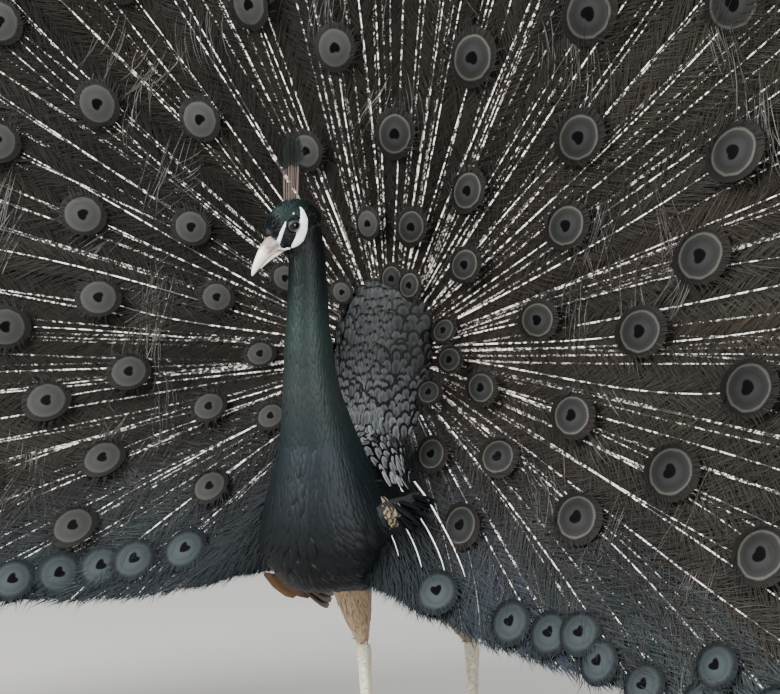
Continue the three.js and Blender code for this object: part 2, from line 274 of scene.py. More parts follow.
owners = []
flesh_corners = []
flesh_faces = []
for i, name in enumerate(FLESH):
    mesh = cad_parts[name].data
    mesh.calc_loop_triangles()
    start = len(flesh_corners)
    flesh_corners += [v.co for v in mesh.vertices]
    flesh_faces += [[start + corner for corner in t.vertices] for t in mesh.loop_triangles]
    owners += [i] * len(mesh.loop_triangles)
flesh_tree = BVHTree.FromPolygons(flesh_corners, flesh_faces)


def owner_of(points):
    """The place in FLESH of the node whose surface lies nearest each point."""
    return np.array([owners[flesh_tree.find_nearest(Vector(p))[2]] for p in points])


def evened(values, rounds, ease=1.0):
    """Values at the skin's corners, drawn so many times by a share to their neighbours' mean."""
    from_a, from_b = skin_edges.T
    count = np.bincount(skin_edges.ravel(), minlength=len(values))[:, None]
    for _ in range(rounds):
        around = [
            np.bincount(from_a, v[from_b], len(v)) + np.bincount(from_b, v[from_a], len(v))
            for v in values.T
        ]
        values = values + ease * (np.stack(around, axis=1) / count - values)
    return values


skin_edges = numbers(skin_mesh.edges, "vertices", 2, np.int32)
corners = vectors(skin_mesh.vertices, "co")
zones = owner_of(corners)
depth = np.array(list(COAT_DEPTH.values()), float)[zones][:, None]
corners -= vectors(skin_mesh.vertex_normals, "vector") * evened(depth, DEPTH_ROUNDS) / 1000
placed(skin_mesh, corners)


def mixed_shades(t, marks, codes):
    """Linear colours between hex ones that are set at rising marks."""
    shades = np.array([linear(code)[:3] for code in codes])
    return np.stack([np.interp(t, marks, shades[:, i]) for i in range(3)], axis=-1)


def flat_shade(code, count):
    """One linear colour for each of a number of points."""
    return np.tile(np.array(linear(code)[:3]), (count, 1))


def plumage_shade(points, owner):
    """The colour of the plumage over each point of the bird's own frame: black-green head with a
    green crown, glossy green-blue neck that darkens down the breast, sooty body, buff thighs."""
    shades = mixed_shades(points[:, 2], PLUMAGE_HEIGHTS, PLUMAGE)
    local = to_head(points)
    crown = np.clip((local[:, 2] - 4 + 0.25 * local[:, 0]) / 8, 0, 1)[:, None]
    brow = np.clip((local[:, 0] - 16) / 10, 0, 1)[:, None]
    count = len(points)
    top = flat_shade("102321", count) * (1 - brow) + flat_shade("0f161a", count) * brow
    face = flat_shade("05090a", count) * (1 - crown) + top * crown
    names = np.array(FLESH)[owner]
    for part, colour in (
        (["head"], face),
        (["trunk", "rump"], mixed_shades(points[:, 1], [-40, 20, 80, 130], SOOTY)),
        (["saddle"], flat_shade("0b0b0c", count)),
        (["wing_left", "wing_right"], flat_shade("16191b", count)),
        (["thigh_left", "thigh_right"], flat_shade("a68d6e", count)),
    ):
        shades = np.where(np.isin(names, part)[:, None], colour, shades)
    return shades


def tinted(mesh, shades):
    """Keeps a colour at every corner of a mesh, as its attribute Tint."""
    layer = mesh.attributes.new("Tint", "FLOAT_COLOR", "POINT")
    full = np.concatenate([shades, np.ones((len(shades), 1))], axis=1)
    layer.data.foreach_set("color", full.astype(np.float32).ravel())


def toned(material, level):
    """The attribute Tint made darker or lighter by a level."""
    tint = add_node(material, "Attribute", attribute_name="Tint")
    mixed = {0: 1.0, 6: tint, 7: level}
    return add_node(material, "Mix", mixed, 2, data_type="RGBA", blend_type="MULTIPLY")


def figured(
    name,
    where,
    kind,
    inputs,
    levels,
    output="Fac",
    figure=None,
    bump=None,
    follows_level=False,
    sunk=False,
    **values,
):
    """A material that takes its colour from Tint and one pattern, which lies on the Vane map or on
    Object coordinates and makes it lighter and darker between levels. bump gives the strength and
    the depth of its relief, which may follow the level in place of the pattern, or be sunk in place
    of raised."""
    material = shaded(name, **values)
    if where == "Vane":
        at = add_node(material, "UVMap", uv_map="Vane")
    else:
        at = add_node(material, "TexCoord", output="Object")
    pattern = add_node(material, kind, {"Vector": at, **inputs}, output, **(figure or {}))
    level = add_node(material, "MapRange", {"Value": pattern, **levels})
    feed(material, Base_Color=toned(material, level))
    if bump:
        height = level if follows_level else pattern
        relief = {"Height": height, "Strength": bump[0], "Distance": bump[1]}
        feed(material, Normal=add_node(material, "Bump", relief, invert=sunk))
    return material


# Down and quill stubs lie close on the skin, so it is rough and matt, with a fine mottle.
under_plumage = figured(
    "skin_under_plumage",
    "Object",
    "TexNoise",
    {"Scale": 900, "Detail": 3},
    {"To Min": 0.3, "To Max": 0.82},
    bump=(0.5, 0.001),
    Roughness=0.8,
)
tinted(skin_mesh, plumage_shade(millimetres(corners), zones))
skin = new_piece("skin", skin_mesh, under_plumage, FLESH)
bpy.ops.object.select_all(action="DESELECT")
bpy.context.view_layer.objects.active = skin
skin.select_set(True)
bpy.ops.object.mode_set(mode="EDIT")
bpy.ops.mesh.select_all(action="SELECT")
bpy.ops.uv.smart_project(angle_limit=math.radians(75), island_margin=0.002)
bpy.ops.object.mode_set(mode="OBJECT")
skin_mesh.uv_layers[0].name = "OFBake"


# ---- Coat ----
# Contour feathers, thousands of small pointed blades rooted in the skin. Each overlaps those behind
# it like roof tiles, and they are tiny on the head, narrow on the neck and broad on the breast.
def unit(shape):
    """The corners and triangles of a small finished shape, ready to be repeated."""
    bmesh.ops.recalc_face_normals(shape, faces=shape.faces)
    bmesh.ops.triangulate(shape, faces=shape.faces)
    shape.verts.index_update()
    triangles = [[v.index for v in f.verts] for f in shape.faces]
    triangles = sorted(min(t, t[1:] + t[:1], t[2:] + t[:2]) for t in triangles)
    return np.array([v.co for v in shape.verts]), np.array(triangles)


def blade(rows):
    """A closed three-cornered blade one long, its ridge up: each row is how far along, how wide."""
    shape = bmesh.new()
    bmesh.ops.create_grid(shape, x_segments=3, y_segments=len(rows) - 1, size=0.5)
    for v in shape.verts:
        y, width = rows[round((v.co.y + 0.5) * (len(rows) - 1))]
        a = math.radians(90 + 120 * (round((v.co.x + 0.5) * 3) % 3))
        v.co = (math.cos(a) * width / 1.732, y, math.sin(a) * width / 1.732 * 0.2)
    bmesh.ops.remove_doubles(shape, verts=shape.verts, dist=1e-5)
    return unit(shape)


def unity(v):
    """Vectors made one long."""
    return v / np.maximum(np.linalg.norm(v, axis=-1, keepdims=True), 1e-9)


BAKE_PATCH = 0.003


def copied(shape, at, tint, patch, patch_size):
    """Copies of a unit shape whose corners are at, with their vane and bake coordinates."""
    corners, triangles = shape
    count = len(at)
    x, y = corners[:, 0], corners[:, 1]
    spot = np.stack([x * 0.5, (y - 0.5) * 0.5], axis=-1) * patch_size
    return {
        "at": at.reshape(-1, 3),
        "faces": (triangles[None] + np.arange(count)[:, None, None] * len(corners)).reshape(-1, 3),
        "vane": np.tile(np.stack([x + 0.5, y], axis=-1), (count, 1)),
        "patch": (patch[:, None] + spot[None]).reshape(-1, 2),
        "tint": np.repeat(tint, len(corners), axis=0),
    }


def for_each(value, count):
    """A value, or one for each of some copies, as a column."""
    return np.broadcast_to(np.asarray(value, float), count)[:, None]


def repeated(
    shape, root, along, up, width, length, tint, patch, bow=0.0, sweep=0.0, patch_size=BAKE_PATCH
):
    """Copies of a unit shape, one for each root: along gives its length's way and up its outer
    side. It bows up and sweeps sideways by those shares of its length. Sizes are in millimetres."""
    x, y, z = shape[0].T
    along = unity(along)
    side = unity(np.cross(along, up))
    up = np.cross(side, along)
    width, length = for_each(width, len(root)) / 1000, for_each(length, len(root)) / 1000
    across = x * width + for_each(sweep, len(root)) * y**2 * length
    rise = z * width + for_each(bow, len(root)) * y**2 * length
    at = root[:, None] + side[:, None] * across[..., None]
    at = at + along[:, None] * (y * length)[..., None] + up[:, None] * rise[..., None]
    return copied(shape, at, tint, patch, patch_size)


def joined(name, parts, material, replaces=()):
    """One piece of many repeated shapes, with their colour, vane and bake coordinates."""
    starts = np.cumsum([0] + [len(p["at"]) for p in parts])
    faces = np.concatenate([p["faces"] + s for p, s in zip(parts, starts)])
    loops = faces.ravel()
    mesh = bpy.data.meshes.new(name)
    mesh.vertices.add(int(starts[-1]))
    mesh.loops.add(len(loops))
    mesh.polygons.add(len(faces))
    at = np.concatenate([p["at"] for p in parts])
    mesh.vertices.foreach_set("co", at.astype(np.float32).ravel())
    mesh.loops.foreach_set("vertex_index", loops.astype(np.int32))
    mesh.polygons.foreach_set("loop_start", np.arange(len(faces), dtype=np.int32) * 3)
    mesh.update(calc_edges=True)
    for layer, key in (("OFBake", "patch"), ("Vane", "vane")):
        values = np.concatenate([p[key] for p in parts])[loops]
        mesh.uv_layers.new(name=layer).uv.foreach_set("vector", values.astype(np.float32).ravel())
    tinted(mesh, np.concatenate([p["tint"] for p in parts]))
    new_piece(name, mesh, material, replaces)
    mesh.set_sharp_from_angle(angle=math.radians(70))


LEAF = blade([(0, 0.25), (0.3, 0.9), (0.68, 1), (0.9, 0.62), (1, 0)])
PLUME = blade([(0, 0.4), (0.35, 1), (0.75, 0.8), (1, 0)])

skin_mesh.calc_loop_triangles()
triangle_corners = numbers(skin_mesh.loop_triangles, "vertices", 3, np.int32)
triangle_loops = numbers(skin_mesh.loop_triangles, "loops", 3, np.int32)
unwrap = numbers(skin_mesh.uv_layers["OFBake"].uv, "vector", 2)
triangle_zones = zones[triangle_corners[:, 0]]
sides = corners[triangle_corners]
crossed = np.cross(sides[:, 1] - sides[:, 0], sides[:, 2] - sides[:, 0])
triangle_areas = np.linalg.norm(crossed, axis=1) / 2

# Feathers lie smoother than the skin where the neck widens into the breast.
NECK_FOOT = 376
EASE_ROUNDS = 90
ease = np.clip(1.4 - np.abs(millimetres(corners)[:, 2] - NECK_FOOT) / 60, 0, 1)[:, None]
normals = unity(evened(vectors(skin_mesh.vertex_normals, "vector"), EASE_ROUNDS, ease))


def rooted(names, spacing, seed):
    """Places spread evenly over the skin of some nodes, at a spacing in millimetres that may change
    from place to place: their points, normals, bake coordinates, zones and points in the bird's own
    frame."""
    chance = np.random.default_rng(seed)
    chosen = np.isin(triangle_zones, [FLESH.index(name) for name in names])
    gap = spacing(millimetres(sides.mean(axis=1))) / 1000
    weight = np.where(chosen, triangle_areas / gap**2, 0)
    count = int(weight.sum() * 2.2)
    picked = chance.choice(len(weight), count, p=weight / weight.sum())
    a, b = chance.random((2, count, 1))
    flip = a + b > 1
    a, b = np.where(flip, 1 - a, a), np.where(flip, 1 - b, b)
    share = np.concatenate([1 - a - b, a, b], axis=1)[..., None]
    points = (sides[picked] * share).sum(axis=1)
    radius = gap[picked] * 0.8
    cell = gap[picked].max()
    kept = []
    grid = {}
    steps = (-1, 0, 1)
    around = [(dx, dy, dz) for dx in steps for dy in steps for dz in steps]
    for i, (place, p, r) in enumerate(zip(np.floor(points / cell).astype(int), points, radius)):
        x, y, z = place
        near = [j for dx, dy, dz in around for j in grid.get((x + dx, y + dy, z + dz), ())]
        if near and (((points[near] - p) ** 2).sum(axis=1) < r * r).any():
            continue
        grid.setdefault((x, y, z), []).append(i)
        kept.append(i)
    picked, points, share = picked[kept], points[kept], share[kept]
    facing = unity((normals[triangle_corners[picked]] * share).sum(axis=1))
    patch = (unwrap[triangle_loops[picked]] * share).sum(axis=1)
    return points, facing, patch, triangle_zones[picked], millimetres(points)


def laid(facing, way, lift):
    """The way a feather points that lies along the skin towards a way, lifted by some degrees."""
    flat = way - facing * (way * facing).sum(axis=1, keepdims=True)
    rise = np.radians(np.broadcast_to(lift, len(facing)))[:, None]
    return unity(flat) * np.cos(rise) + facing * np.sin(rise)


def strewn(way, spread, seed):
    """Ways turned a little at random, by about a share of their length."""
    return unity(way) + np.random.default_rng(seed).normal(0, spread, way.shape)


def varied(shades, spread, seed):
    """Colours made lighter or darker at random, by about a share."""
    chance = np.random.default_rng(seed)
    return shades * np.exp(chance.normal(0, spread, (len(shades), 1)))


# Keratin barbs with a structural green and blue gloss: dark, smooth and slightly metallic, with
# fine lines along each feather, drawn about half a millimetre apart so that they show.
neck_gloss = figured(
    "iridescent_keratin",
    "Vane",
    "TexWave",
    {"Scale": 2.4, "Distortion": 1.5, "Detail": 1},
    {"To Min": 0.6, "To Max": 0.85},
    figure={"bands_direction": "X"},
    Roughness=0.5,
    Metallic=0.3,
    Specular_IOR_Level=0.2,
)


def neck_gap(p):
    return np.interp(p[:, 2], [215, 300, 380, 470, 590], [5.6, 5, 3.9, 3.3, 2.7])


points, facing, patch, owner, own = rooted(["neck_upper", "neck_lower", "breast"], neck_gap, 1)
tuck = np.clip((335 - own[:, 2]) / 90, 0, 1)
way = np.stack([0 * tuck, 0.1 + 1.5 * tuck, -1 + 0.85 * tuck], axis=1)
BREAST_TOP = 372
for name, chosen, slot in (
    ("breast_feathers", own[:, 2] < BREAST_TOP, "head_and_breast_plumage"),
    ("neck_feathers", own[:, 2] >= BREAST_TOP, "neck_plumage"),
):
    size, height = neck_gap(own[chosen]), own[chosen, 2]
    copies = repeated(
        LEAF,
        points[chosen],
        laid(facing[chosen], strewn(way[chosen], 0.05, 2), np.interp(height, [215, 290], [-2, 7])),
        facing[chosen],
        size * 1.45,
        size * np.interp(height, [225, 290], [2.5, 4.6]),
        varied(plumage_shade(own[chosen], owner[chosen]), 0.06, 3),
        patch[chosen],
        bow=-0.1,
    )
    joined(name, [copies], neck_gloss)

# The feathers of the crown and the forehead are longer and stand up a little.
points, facing, patch, owner, own = rooted(["head"], lambda p: np.full(len(p), 2.0), 4)
forward, left, up = to_head(own).T
crown = np.clip((up - 13) / 6, 0, 1) * np.clip(1.6 - np.abs(forward + 6) / 12, 0, 1)
brow = np.clip((forward - 16) / 8, 0, 1) * np.clip((up + 1) / 5, 0, 1)
loft = np.maximum(crown, brow * np.clip((11 - np.abs(left)) / 3, 0, 1))
clear = forward < 38 - 0.4 * np.abs(up + 3)
way = np.tile(in_head([-1.0, 0, -0.25]) - np.array(HEAD_AT), (clear.sum(), 1))
loft = loft[clear]
copies = repeated(
    LEAF,
    points[clear],
    laid(facing[clear], strewn(way, 0.12, 5), 13 + 22 * loft),
    facing[clear],
    2.3,
    np.interp(forward[clear], [-30, 30], [6.5, 3.6]) + 2.8 * loft,
    varied(plumage_shade(own[clear], owner[clear]), 0.16, 6),
    patch[clear],
    bow=-0.2,
)
joined("head_feathers", [copies], neck_gloss)

# ---- Body and thighs ----
# Sooty feathers on the flanks and under the train, and short buff down on the thighs. Down has no
# hooked barbs, so it stays matt and loose.
soft_down = figured(
    "soft_down",
    "Vane",
    "TexNoise",
    {"Scale": 9, "Detail": 2},
    {"To Min": 0.5, "To Max": 0.96},
    Roughness=0.85,
    Sheen_Weight=0.25,
    Sheen_Roughness=0.6,
)

# The trunk's own feathers leave its back, behind and above these, to the scaled ones.
SCALED_FROM = (-10, 318)


def coat(
    name, nodes, seed, gap, way, spread, lift, shape, width, lengths, bow, tones, material, slot
):
    """One piece of feathers over some nodes, their lengths growing from knee height to flank."""
    points, facing, patch, owner, own = rooted(nodes, lambda p: np.full(len(p), gap), seed)
    kept = (own[:, 1] <= SCALED_FROM[0]) | (own[:, 2] <= SCALED_FROM[1]) | ("trunk" not in nodes)
    ways = np.tile(np.array(way, float), (kept.sum(), 1))
    copies = repeated(
        shape,
        points[kept],
        laid(facing[kept], strewn(ways, spread, seed + 1), lift),
        facing[kept],
        width,
        np.interp(own[kept, 2], [150, 240], lengths),
        varied(plumage_shade(own[kept], owner[kept]), tones, seed + 2),
        patch[kept],
        bow=bow,
    )
    joined(name, [copies], material)


flank = ([0, 1, -0.45], 0.12, 14, LEAF, 9, [24, 24], -0.15, 0.15, neck_gloss, "back_plumage")
rump = ([0, 0.8, -0.7], 0.25, 24, PLUME, 6, [30, 30], -0.25, 0.2, soft_down, "back_plumage")
thigh = ([0, 0.25, -1], 0.14, 15, PLUME, 3, [9, 16], -0.2, 0.14, soft_down, "thigh_down")
coat("body_feathers", ["trunk"], 7, 5.5, *flank)
coat("rump_down", ["rump"], 10, 6, *rump)
for name, _ in SIDES:
    coat(f"thigh_down_{name}", [f"thigh_{name}"], 13, 3.2, *thigh)


# ---- Back ----
# The scaled feathers of the back: short, stiff and round-tipped, each with a grey heart, a pale
# line and a black rim. With the train up the back stands upright, and their tips point to the
# train.
def vane_shape(columns, rows, tip, camber, root=0.55):
    """A thin closed vane one long: one wide at tip, root at its start, and round beyond tip."""
    shape = bmesh.new()
    bmesh.ops.create_grid(shape, x_segments=columns, y_segments=rows, size=0.5)
    for v in shape.verts:
        y = math.sin((v.co.y + 0.5) * math.pi / 2)
        past = max(0, (y - tip) / (1 - tip))
        half = math.sqrt(max(0, 1 - past * past)) * (root + (1 - root) * min(1, y / tip))
        x = v.co.x * half
        v.co = (x, y - 0.02 * abs(v.co.x), -camber * 4 * x * x)
    bmesh.ops.remove_doubles(shape, verts=shape.verts, dist=1e-4)
    bmesh.ops.solidify(shape, geom=shape.faces[:], thickness=0.03)
    return unit(shape)


SCALE = vane_shape(4, 4, 0.5, 0.07)
SCALE_ROWS = [305, 330, 370, 470, 530, 560]
SCALE_WIDTHS = [10, 10.5, 12, 15.5, 21, 24]
SCALE_STEPS = [9.6, 8.8, 7.6, 7.8, 9.6, 11]
SCALE_BELT = [520, 410, 340]
SCALE_SHARE = [0.72, 0.63, 0.63, 0.82]
SCALE_SHADES = ["7d8184", "434648", "242627", "282a2b"]


# Stiff overlapping keratin, grey with a silky sheen, paler towards the rim. Each scale has its own
# cell of the bake map, as it carries a pattern.
scale_horn = shaded("scaled_back_keratin", Roughness=0.6, Specular_IOR_Level=0.12)
vane = add_node(scale_horn, "UVMap", uv_map="Vane")
split = add_node(scale_horn, "SeparateXYZ", {0: vane}, "X").node.outputs
across = add_node(scale_horn, "MapRange", {"Value": split["X"], "To Min": -1, "To Max": 1})
beyond = add_node(scale_horn, "MapRange", {"Value": split["Y"], "From Min": 0.5, "From Max": 1})
spot = add_node(scale_horn, "CombineXYZ", {"X": across, "Y": beyond})
reach = add_node(scale_horn, "VectorMath", {0: spot}, "Value", operation="LENGTH")
grain = add_node(scale_horn, "TexNoise", {"Vector": vane, "Scale": 7, "Detail": 3}, "Fac")
worn = add_node(scale_horn, "Math", {0: grain, 1: 0.16, 2: reach}, operation="MULTIPLY_ADD")
paler = {"Value": worn, "From Min": 0.25, "From Max": 0.95, "To Min": 0.6, "To Max": 1.4}
line = add_node(scale_horn, "MapRange", paler)
streak = add_node(scale_horn, "Math", {0: across}, operation="ABSOLUTE")
dark_quill = {"Value": streak, "From Min": 0, "From Max": 0.2, "To Min": 0.64, "To Max": 0.74}
quill = add_node(scale_horn, "MapRange", dark_quill)
level = add_node(scale_horn, "Math", {0: line, 1: quill}, operation="MULTIPLY")
feed(scale_horn, Base_Color=toned(scale_horn, level))

skin_tree = BVHTree.FromPolygons([Vector(c) for c in corners], triangle_corners.tolist())


def on_skin(starts, ways):
    """Where rays meet the skin: points, normals and bake coordinates."""
    hits = [skin_tree.ray_cast(Vector(s), Vector(w)) for s, w in zip(starts, ways)]
    found = [h for h in hits if h[0] is not None]
    patch = np.array([unwrap[triangle_loops[h[2]]].mean(axis=0) for h in found])
    return np.array([h[0] for h in found]), np.array([h[1] for h in found]), patch


def own_cells(count):
    """Cells side by side on a bake map, one for each patterned shape, and a patch's size."""
    cells = math.ceil(math.sqrt(count))
    index = np.arange(count)
    places = np.stack([index % cells + 0.5, index // cells + 0.5], axis=-1) / cells
    return places, 1.8 / cells


scale_chance = np.random.default_rng(15)
starts = []
ways = []
height = SCALE_ROWS[0]
row = 0
while height < SCALE_ROWS[-1]:
    width = np.interp(height, SCALE_ROWS, SCALE_WIDTHS)
    count = int(np.interp(height, [320, 390, 450], SCALE_BELT) / (width * 0.8))
    for i in range(count):
        a = 2 * math.pi * (i + 0.5 * (row % 2) + scale_chance.normal(0, 0.17)) / count
        core = np.interp(height, [300, 553], [60, 99])
        starts.append(metres([0, core, height + scale_chance.normal(0, 1.7)]))
        ways.append([math.cos(a), math.sin(a), 0])
    height += np.interp(height, SCALE_ROWS, SCALE_STEPS)
    row += 1
points, facing, patch = on_skin(starts, ways)
own = millimetres(points)
owner_name = np.array(FLESH)[owner_of(points)]
on_back = (owner_name == "saddle") | ((owner_name == "trunk") & (own[:, 1] > -18))
points, facing, patch, own = points[on_back], facing[on_back], patch[on_back], own[on_back]
turned = laid(facing, strewn(np.tile([0.0, 0.0, 1.0], (len(points), 1)), 0.14, 16), 9)
width = np.interp(own[:, 2], SCALE_ROWS, SCALE_WIDTHS)
width = width * scale_chance.uniform(0.88, 1.12, len(points))
length = np.interp(own[:, 2], SCALE_ROWS, SCALE_STEPS) * 2.4
heights = [330, 390, 450, 540]
black = flat_shade("040404", len(points))
grey = mixed_shades(own[:, 2], [320, *heights[1:]], SCALE_SHADES)
heart = np.interp(own[:, 2], heights, SCALE_SHARE)
for name, share, rise, shade, (bake_place, bake_size) in (
    ("back_scale_edges", 1.0, 0.0012, black, (patch, BAKE_PATCH)),
    ("back_scales", heart, 0.0019, grey, own_cells(len(points))),
):
    copies = repeated(
        SCALE,
        points + facing * rise,
        turned,
        facing,
        width * share,
        length * (0.5 + 0.5 * share),
        varied(shade, 0.14, 17),
        bake_place,
        bow=-0.06,
        patch_size=bake_size,
    )
    joined(name, [copies], scale_horn)

# ---- Wings ----
# Folded and let down along the flanks: coverts barred buff and black, and below them the flight
# feathers, rufous and stiff, their tips free of the train.
COVERT = vane_shape(4, 6, 0.6, 0.12)
QUILL_VANE = vane_shape(4, 9, 0.7, 0.1, 0.12)
FLIGHT_ROOT = (86, -12, 268)
FLIGHT_DROP = 40
FLIGHT_SLOPES = (2, 21)
# Flight feathers and the two rows over their roots: count, length, width, ahead, off the body,
# colour.
FLIGHT_ROWS = (
    (9, 205, 24, 0, 0, "5e4330"),
    (9, 78, 15, -8, 1.6, "4c3a2c"),
    (11, 46, 11, -10, 3.0, "2a2521"),
)
HANGING_ROOTS = [[-88, -20, 230], [-85, -4, 228]]
HANGING_WAYS = [[-0.02, 1, -0.4], [0.02, 1, -0.36]]

# Barred keratin, matt, with wavering cross bars about five millimetres apart.
barred_vane = shaded("barred_covert_keratin", Roughness=0.62)
vane = add_node(barred_vane, "UVMap", uv_map="Vane")
wavering = {"Vector": vane, "Scale": 0.85, "Distortion": 4, "Detail": 2, "Detail Scale": 2}
bars = add_node(barred_vane, "TexWave", wavering, "Fac", bands_direction="Y")
edge = add_node(barred_vane, "MapRange", {"Value": bars, "From Min": 0.42, "From Max": 0.58})
tint = add_node(barred_vane, "Attribute", attribute_name="Tint")
banded = add_node(barred_vane, "Mix", {0: edge, 6: linear("16130f"), 7: tint}, 2, data_type="RGBA")
feed(barred_vane, Base_Color=banded)

# Rufous keratin, a little silky, with fine slanting barbs.
rufous_vane = figured(
    "rufous_flight_keratin",
    "Vane",
    "TexWave",
    {"Scale": 6, "Distortion": 1.2, "Detail": 1},
    {"To Min": 0.56, "To Max": 0.86},
    figure={"bands_direction": "DIAGONAL"},
    Roughness=0.55,
)

for name, side in SIDES:
    points, facing, patch, owner, own = rooted(
        [f"wing_{name}"], lambda p: np.interp(p[:, 1], [-50, -20, 60], [4.6, 8, 12]), 18
    )
    shoulder = (own[:, 1] < -47 + 6 * side + 0.35 * (own[:, 2] - 290)) & (own[:, 2] > 276)
    loose = ~shoulder & (own[:, 1] < 62)
    count = loose.sum()
    way = laid(facing[loose], np.tile([0.3 * side, 0.6, -0.8], (count, 1)), 5)
    copies = repeated(
        LEAF,
        np.repeat(points[loose], 3, axis=0),
        np.repeat(way, 3, axis=0) + np.random.default_rng(24).normal(0, 0.1, (3 * count, 3)),
        np.repeat(facing[loose], 3, axis=0),
        8,
        32,
        varied(flat_shade("101518", 3 * count), 0.15, 25),
        np.repeat(patch[loose], 3, axis=0),
        bow=-0.16,
    )
    joined(f"flank_plumes_{name}", [copies], neck_gloss)

    points, facing, patch, own = (v[~loose] for v in (points, facing, patch, own))
    size = np.interp(own[:, 1], [-50, -20, 60], [8, 13, 21])
    cell, cell_size = own_cells(len(points))
    copies = repeated(
        COVERT,
        points,
        laid(facing, strewn(np.tile([0.0, 1.0, -0.5], (len(points), 1)), 0.16, 19), 8),
        facing,
        size,
        size * 1.75,
        varied(flat_shade("76694f", len(points)), 0.16, 20),
        cell,
        bow=-0.12,
        patch_size=cell_size,
    )
    joined(f"wing_coverts_{name}", [copies], barred_vane)

    # The flight feathers start side by side and open towards their tips, the lowest the shortest,
    # and two rows of short brown coverts lie over their roots.
    rows = []
    for count, length, wide, ahead, off, shade in FLIGHT_ROWS:
        part = np.linspace(0, 1, count)
        slope = np.radians(FLIGHT_SLOPES[0] + (FLIGHT_SLOPES[1] - FLIGHT_SLOPES[0]) * part)
        x0, y0, z0 = FLIGHT_ROOT
        root = [
            side * (x0 + off + 2 - 4 * part),
            y0 + ahead + 20 * part**2,
            z0 + 4 - FLIGHT_DROP * part,
        ]
        way = np.stack([side * 0.02 + 0 * part, np.cos(slope), -np.sin(slope)], axis=1)
        facing = np.tile([float(side), 0.0, 0.0], (count, 1))
        quills = repeated(
            QUILL_VANE,
            metres(np.stack(root, axis=1)),
            way,
            facing + 0.25 * np.cross(way, [side, 0, 0]) * side,
            wide,
            length * (1 - 0.42 * part),
            varied(flat_shade(shade, count), 0.14, 21),
            np.stack([0.1 + 0.8 * part, 0.5 + 0 * part], axis=1),
            sweep=0.03 * side,
        )
        # Each feather is painted darker towards both edges of its vane: painted shade between
        # neighbours.
        quills["tint"] = quills["tint"] * (1.3 - 1.9 * np.abs(quills["vane"][:, :1] - 0.5))
        rows.append(quills)
    # Two of the right wing's feathers hang free, below the train's edge.
    if side < 0:
        copies = repeated(
            LEAF,
            metres(HANGING_ROOTS),
            np.array(HANGING_WAYS),
            np.tile([-1.0, 0.0, 0.1], (2, 1)),
            17,
            np.array([78, 84]),
            np.array([linear("94714c")[:3], linear("6d4f36")[:3]]),
            np.array([[0.3, 0.9], [0.6, 0.9]]),
        )
        rows.append(copies)
    joined(f"flight_feathers_{name}", rows, rufous_vane, [f"primaries_{name}"])


# ---- Fan ----
# The raised train is one shallow bowl of feathers that start from the lower back. A place on it is
# a distance from the apex and an angle from the middle, and its lower feathers lean further
# forward.
FAN_APEX = (0, 100, 465)
FAN_ROLL = 4
FAN_REACH = 1180
CURL = [(0, 6), (60, 12), (100, 23), (130, 32), (166, 45)]
RIM_ANGLES = [0, 60, 90, 100, 108, 114, 120, 128, 134, 140, 150, 160, 166]
RIM_REACHES = [1180, 1150, 1080, 1000, 880, 740, 630, 523, 455, 402, 336, 290, 274]
RIM = list(zip(RIM_ANGLES, RIM_REACHES))


def eased(stations, t):
    """A value that eases from one station to the next."""
    marks, values = np.array(stations, float).T
    i = np.clip(np.searchsorted(marks, t, side="right") - 1, 0, len(marks) - 2)
    k = np.clip((t - marks[i]) / (marks[i + 1] - marks[i]), 0, 1)
    k = 0.5 * k + 0.5 * k * k * (3 - 2 * k)
    return values[i] + (values[i + 1] - values[i]) * k


def fan_point(distance, angle, back=0.0, apex=FAN_APEX):
    """A place on the fan, in the part's frame, some millimetres behind its surface."""
    lean = np.radians(eased(CURL, np.abs(angle))) * (0.5 + 0.5 * distance / FAN_REACH)
    bearing = np.radians(angle + FAN_ROLL)
    flat = distance * np.cos(lean)
    x = apex[0] + flat * np.sin(bearing)
    y = apex[1] - distance * np.sin(lean) + back
    z = apex[2] + flat * np.cos(bearing)
    return metres(np.stack(np.broadcast_arrays(x, y, z), axis=-1))


def fan_ways(distance, angle, apex=FAN_APEX):
    """The ways outward along a feather, across it and to the fan's front, at a place on it."""
    further, nearer = (fan_point(distance + step, angle, 0, apex) for step in (2, -2))
    right, left = (fan_point(distance, angle + step, 0, apex) for step in (0.4, -0.4))
    outward = unity(further - nearer)
    across = unity(right - left)
    across = unity(across - outward * (across * outward).sum(axis=-1, keepdims=True))
    return outward, across, np.cross(across, outward)


def fan_patch(distance, angle):
    """A place of the fan on its flat unwrap."""
    bearing = np.radians(angle)
    reach = 0.4 * distance / FAN_REACH
    return np.stack([0.5 + reach * np.sin(bearing), 0.5 + reach * np.cos(bearing)], axis=-1)


def along_fan(
    shape, angle, start, end, width, back, tint, drift=0.0, curve=0.0, apex=FAN_APEX, relief=1.0
):
    """Copies of a long unit shape that follow the fan outward. width gives the width in millimetres
    for each share of the length, drift turns the root aside by some degrees and curve the
    middle."""
    x, y, z = shape[0].T
    angle, start, end, back, drift, curve = (
        for_each(v, len(angle)) for v in (angle, start, end, back, drift, curve)
    )
    distance = start + (end - start) * y
    bearing = angle + drift * (1 - y) ** 2 + curve * 4 * y * (1 - y)
    _, across, front = fan_ways(distance, bearing, apex)
    size = (width(y[None] + 0 * distance) / 1000)[..., None]
    middle = fan_point(distance, bearing, back, apex)
    at = middle + across * x[None, :, None] * size + front * z[None, :, None] * size * relief
    return copied(shape, at, tint, fan_patch((start + end) / 2, angle).reshape(-1, 2), BAKE_PATCH)


# ---- Tail ----
# Twenty stiff feathers of brown keratin behind the train, each with a strong pale shaft. They are
# rooted in the rump, stand in a fan of their own and prop the train up.
TAIL_MIDDLE = (0, 150, 440)
TAIL_START = 40
TAIL_LENGTH = 425
TAIL_SPREAD = 106
TAIL_COUNT = 20


